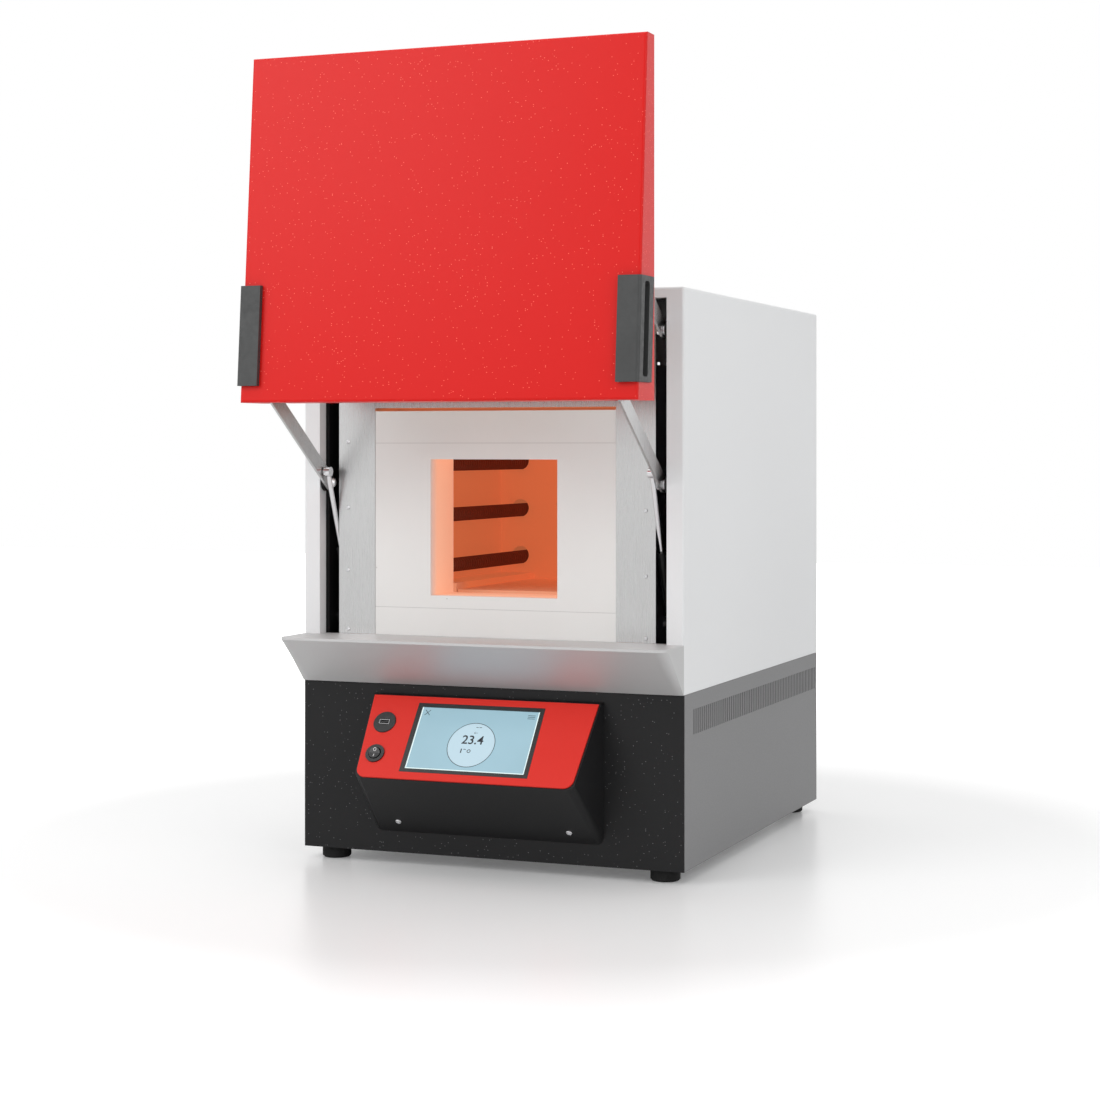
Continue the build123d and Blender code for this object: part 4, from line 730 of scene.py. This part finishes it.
def ring(radius, width, centre, sides):
    """A flat ring."""
    points = circle(radius - width, centre, sides) + circle(radius, centre, sides)
    return mesh_from(points, [(step, (step + 1) % sides, sides + (step + 1) % sides, sides + step)
                              for step in range(sides)])


def bar(width, height, centre, turn=0.0):
    """A flat bar, turned about its middle."""
    spin = Matrix.Rotation(turn, 3, "Z")
    corners = [Vector((x * width / 2, y * height / 2, 0)) for x, y in CORNERS]
    return mesh_from([spin @ corner + Vector((*centre, 0)) for corner in corners],
                     [(0, 1, 2, 3)])


def figures(text, height, centre, weight):
    """Plain figures as a flat mesh."""
    curve = bpy.data.curves.new("figures", "FONT")
    curve.body = text
    curve.size = height
    curve.offset = weight
    curve.align_x = "CENTER"
    curve.align_y = "CENTER"
    holder = bpy.data.objects.new("figures", curve)
    mesh = bpy.data.meshes.new_from_object(holder)
    bpy.data.objects.remove(holder)
    mesh.transform(Matrix.Translation((*centre, 0)))
    return mesh


def console_slope():
    """The way that the console's sloping face looks, read from the screen's largest triangle
    and rounded, so that the mesh's own small errors drop out."""
    faces = [face for face in NODES["display_screen"].data.polygons if face.normal.y < 0]
    largest = max(faces, key=lambda face: face.area)
    return Vector([round(value, 6) for value in largest.normal])


def outer_face(node, normal):
    """Middle of a node's outermost flat face along a direction, its axes and its two spans."""
    normal = normal.normalized()
    across = Vector((1, 0, 0))
    up = normal.cross(across)
    points = [vert.co for vert in NODES[node].data.vertices]
    outermost = max(point.dot(normal) for point in points)
    face = [point for point in points if point.dot(normal) > outermost - SAME_FACE]
    spans = [[point.dot(axis) for point in face] for axis in (across, up)]
    middle = normal * outermost
    for axis, span in zip((across, up), spans):
        middle = middle + axis * (min(span) + max(span)) / 2
    return middle, across, up, [max(span) - min(span) for span in spans]


def lay_on(mesh, node, centre, across, up, lift):
    """Lays a flat mesh on a node's surface, each point a little above it."""
    normal = across.cross(up)
    surface = BVHTree.FromPolygons([vert.co for vert in NODES[node].data.vertices],
                                   [face.vertices for face in NODES[node].data.polygons])
    for vert in mesh.vertices:
        spot = centre + across * vert.co.x + up * vert.co.y
        hit = surface.ray_cast(spot + normal * SEARCH_HEIGHT, -normal)[0]
        vert.co = (hit if hit else spot) + normal * lift
    return mesh


# ---------------------------------------------------------------- operators

class FURNACE_OT_stage(bpy.types.Operator):
    """Set up the floor, the lamps, the even light and the camera"""
    bl_idname = "furnace.stage"
    bl_label = "Stage"

    def execute(self, context):
        scene = context.scene
        stage = scene.furnace_stage
        scene.view_settings.view_transform = "Standard"
        floor = bpy.data.objects.new("floor", mesh_from(
            [(x * stage.room, y * stage.room, FLOOR_LEVEL) for x, y in CORNERS],
            [(0, 1, 2, 3)], "floor"))
        scene.collection.objects.link(floor)
        floor.data.materials.append(self.floor_finish(stage.floor_white))
        for name, (place, width) in LAMPS.items():
            light = bpy.data.lights.new(name, "AREA")
            light.shape = "SQUARE"
            light.size = width
            light.energy = getattr(stage, name)
            lamp = bpy.data.objects.new(name, light)
            lamp.location = place
            lamp.rotation_euler = facing(Vector(place) - LAMP_AIM)
            scene.collection.objects.link(lamp)
        self.even_light(scene, stage.sky_level)
        camera = bpy.data.cameras.new("camera")
        camera.lens = stage.lens
        camera.sensor_width = FILM_WIDTH
        camera.shift_y = stage.frame_lift
        eye = bpy.data.objects.new("camera", camera)
        eye.location = (stage.eye_right, -stage.eye_front, stage.eye_height)
        eye.rotation_euler = (math.pi / 2, 0, stage.turn)
        scene.collection.objects.link(eye)
        scene.camera = eye
        return {"FINISHED"}

    def floor_finish(self, colour):
        """A glossy pale floor that turns matt and fades to white away from the furnace."""
        gloss_start, gloss_end, glossy, matt = 0.4, 2.0, 0.28, 0.6
        white_start, white_end, least_white = 0.7, 1.7, 0.13
        material, tree, shader = new_finish("floor_pale", colour, Specular_IOR_Level=0.35,
                                            Emission_Color=(1, 1, 1))
        away = wire(tree, "ShaderNodeVectorMath", {0: object_space(tree)},
                    operation="LENGTH").outputs["Value"]
        tree.links.new(spread(tree, away, glossy, matt, gloss_start, gloss_end),
                       shader.inputs["Roughness"])
        to_camera = wire(tree, "ShaderNodeLightPath").outputs["Is Camera Ray"]
        white = spread(tree, away, least_white, 1.0, white_start, white_end)
        tree.links.new(calc(tree, "MULTIPLY", to_camera, white),
                       shader.inputs["Emission Strength"])
        return material

    def even_light(self, scene, level):
        """A white surround for the camera and for gloss, at a plain level for the light itself."""
        world = bpy.data.worlds.new("surround")
        scene.world = world
        world.use_nodes = True
        tree = world.node_tree
        path = wire(tree, "ShaderNodeLightPath").outputs
        shown = calc(tree, "MAXIMUM", path["Is Camera Ray"],
                     calc(tree, "MAXIMUM", path["Is Glossy Ray"], path["Is Transmission Ray"]))
        back = tree.nodes["Background"].inputs
        feed(tree, back["Color"], (1, 1, 1))
        feed(tree, back["Strength"], spread(tree, shown, level, 1.0, start=0.0, end=1.0))


class FURNACE_OT_finishes(bpy.types.Operator):
    """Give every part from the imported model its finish"""
    bl_idname = "furnace.finishes"
    bl_label = "Finishes"

    def execute(self, context):
        finishes = make_finishes(context.scene.furnace_finishes)
        context.scene["furnace_finish_names"] = {key: material.name
                                                 for key, material in finishes.items()}
        for node, part in NODES.items():
            slot = part.data.materials[0].name.split(".")[0]
            part.data.materials.clear()
            part.data.materials.append(finishes[OWN_FINISH.get(node, slot)])
        return {"FINISHED"}


class FURNACE_OT_elements(bpy.types.Operator):
    """Make the spiral-ribbed heating elements"""
    bl_idname = "furnace.elements"
    bl_label = "Heating Elements"

    def execute(self, context):
        sizes = context.scene.furnace_sizes
        rods = solids_of("heating_elements")
        low, high = rods[0]
        length = high.y - low.y
        mesh = grow(ribbed_rod_tree(), [(low + high) / 2 for low, high in rods],
                    Diameter=high.x - low.x, Length=length, Pitch=sizes.rib_pitch,
                    Groove=sizes.rib_depth, Tip=ROD_TIP,
                    Rings=int(length / sizes.rib_pitch * RINGS_PER_RIB),
                    Facing=facing((0, 1, 0)), Finish=finish("element_rod"))
        settle("ribbed_elements", mesh, "root", "element_rod", "element_rod", "heating_elements")
        return {"FINISHED"}


class FURNACE_OT_screws(bpy.types.Operator):
    """Make the socket screws of the face plates and of the console"""
    bl_idname = "furnace.screws"
    bl_label = "Screws"

    def execute(self, context):
        sizes = context.scene.furnace_sizes
        tree = socket_screw_tree()
        for node, name, socket in (
                ("face_screws", "face_plate_screws", sizes.face_screw_socket),
                ("console_screws", "console_front_screws", sizes.console_screw_socket)):
            heads = solids_of(node)
            low, high = heads[0]
            normal = self.normal_of(node)
            depths = [vert.co.dot(normal) for vert in NODES[node].data.vertices]
            thick = max(depths) - min(depths)
            spots = [(low + high) / 2 - normal * thick / 2 for low, high in heads]
            mesh = grow(tree, spots, Diameter=high.x - low.x, Height=thick, Socket=socket,
                        Facing=facing(normal), Finish=finish("bright_steel"))
            settle(name, mesh, "root", "bright_steel", "bright_steel", node)
        return {"FINISHED"}

    def normal_of(self, node):
        """The way that the flat tops of a node's screws face, out of its two largest flats."""
        flats = {}
        for face in NODES[node].data.polygons:
            key = tuple(round(value, 2) for value in face.normal)
            flats[key] = flats.get(key, 0) + face.area
        largest = sorted(flats, key=flats.get, reverse=True)[:2]
        return Vector(min(largest, key=lambda normal: normal[1])).normalized()


class FURNACE_OT_screen(bpy.types.Operator):
    """Draw the dial, the figures and the small signs on the screen"""
    bl_idname = "furnace.screen"
    bl_label = "Screen"

    def execute(self, context):
        sizes = context.scene.furnace_sizes
        middle, across, up, (wide, tall) = outer_face("display_screen", console_slope())
        dial = (0, -DIAL_DROP)
        face = disc(sizes.dial_radius - sizes.dial_line / 2, dial, DIAL_SIDES)
        ink = joined([*self.dial_signs(sizes, dial), *self.corner_signs(wide, tall)])
        # Painted highlight strips along the screen's glass edges.
        edges = self.edges(sizes.screen_highlight_width, wide, tall)
        lift = sizes.print_lift
        for name, mesh, finish_name, height in (
                ("screen_dial_face", face, "screen_dial", lift),
                ("screen_lit_edges", edges, "screen_edge", lift),
                ("screen_figures", ink, "screen_ink", 2 * lift)):
            settle(name, lay_on(mesh, "display_screen", middle, across, up, height), "root",
                   "screen_glass", finish_name)
        return {"FINISHED"}

    def edges(self, rim, wide, tall):
        """Painted highlight: light strips along the sides and the foot of the screen, where light
        catches the glass edge.
        """
        return joined([bar(rim, tall, ((rim - wide) / 2, 0)),
                       bar(rim, tall, ((wide - rim) / 2, 0)),
                       bar(wide, rim, (0, (rim - tall) / 2))])

    def dial_signs(self, sizes, dial):
        """The dial's outline, its figures and the small signs above and below them."""
        def at(shift, row):
            return dial[0] + shift, dial[1] + row

        return [
            ring(sizes.dial_radius, sizes.dial_line, dial, DIAL_SIDES),
            figures("23.4", sizes.figure_height, at(FIGURES_SHIFT, FIGURES_ROW), FIGURES_WEIGHT),
            *[bar(*TOP_DASH, at(shift, TOP_ROW)) for shift in TOP_SHIFTS],
            ring(*NOTE_RING, at(NOTE_RING_SHIFT, NOTE_ROW), NOTE_RING_SIDES),
            bar(*NOTE_DASH, at(NOTE_DASH_SHIFT, NOTE_ROW)),
            bar(*LOW_STROKE, at(LOW_STROKE_SHIFT, LOW_ROW)),
            bar(*LOW_DASH, at(LOW_DASH_SHIFT, LOW_DASH_ROW)),
            ring(*LOW_RING, at(LOW_RING_SHIFT, LOW_ROW), LOW_RING_SIDES),
        ]

    def corner_signs(self, wide, tall):
        """A cross in the upper left corner and three lines in the upper right one."""
        row = tall / 2 - SIGN_DROP
        cross = (-wide / 2 + CROSS_INSET, row)
        return [*[bar(*CROSS_BAR, cross, turn) for turn in (CROSS_TURN, -CROSS_TURN)],
                *[bar(*MENU_BAR, (wide / 2 - MENU_INSET, row + rise))
                  for rise in (MENU_PITCH, 0, -MENU_PITCH)]]


class FURNACE_OT_controls(bpy.types.Operator):
    """Make the port's metal liner and the marks on the switch"""
    bl_idname = "furnace.controls"
    bl_label = "Controls"

    def execute(self, context):
        lift = context.scene.furnace_sizes.print_lift
        slope = console_slope()
        middle, across, up, _ = outer_face("usb_port", slope)
        settle("port_liner", self.liner(middle, across, up, slope), "root", "bright_steel",
               "bright_steel")
        low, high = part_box("power_rocker")
        marks = [lay_on(mark, "power_rocker", (low + high) / 2, across, up, lift)
                 for mark in (ring(*OFF_RING, OFF_PLACE, OFF_SIDES), bar(*ON_BAR, ON_PLACE))]
        settle("switch_marks", joined(marks, "switch_marks"), "rocker", "black_plastic",
               "mark_white")
        return {"FINISHED"}

    def liner(self, middle, across, up, slope):
        """A thin metal tube that lines the port."""
        points, faces = [], []
        for depth in (LINER_FRONT, LINER_BACK):
            for wide, tall in (LINER_OUTSIDE, LINER_INSIDE):
                points += [middle + across * (x * wide / 2) + up * (y * tall / 2) + slope * depth
                           for x, y in CORNERS]
        front_out, front_in, back_out, back_in = (4 * loop for loop in range(4))
        for this in range(4):
            after = (this + 1) % 4
            for one, other in ((front_out, front_in), (back_out, back_in),
                               (front_out, back_out), (front_in, back_in)):
                faces.append((one + this, one + after, other + after, other + this))
        return mesh_from(points, faces, "port_liner")


class FURNACE_PT_panel(bpy.types.Panel):
    """Buttons for every group of pieces"""
    bl_idname = "FURNACE_PT_panel"
    bl_label = "Laboratory Furnace"
    bl_space_type = "VIEW_3D"
    bl_region_type = "UI"
    bl_category = "Furnace"

    def draw(self, context):
        for operator in OPERATORS:
            self.layout.operator(operator.bl_idname)


OPERATORS = (FURNACE_OT_stage, FURNACE_OT_finishes, FURNACE_OT_elements, FURNACE_OT_screws,
             FURNACE_OT_screen, FURNACE_OT_controls)
GROUPS = (("furnace_finishes", FurnaceFinishes), ("furnace_sizes", FurnaceSizes),
          ("furnace_stage", FurnaceStage))


def register():
    """Adds the settings, the operators and the panel."""
    for name, group in GROUPS:
        bpy.utils.register_class(group)
        setattr(bpy.types.Scene, name, PointerProperty(type=group))
    for item in (*OPERATORS, FURNACE_PT_panel):
        bpy.utils.register_class(item)


def unregister():
    """Takes them away again."""
    for item in (FURNACE_PT_panel, *reversed(OPERATORS)):
        bpy.utils.unregister_class(item)
    for name, group in reversed(GROUPS):
        delattr(bpy.types.Scene, name)
        bpy.utils.unregister_class(group)


def main():
    """Adds the settings, then runs every operator in order."""
    register()
    for operator in OPERATORS:
        group, name = operator.bl_idname.split(".")
        getattr(getattr(bpy.ops, group), name)()


if __name__ == "__main__":
    main()
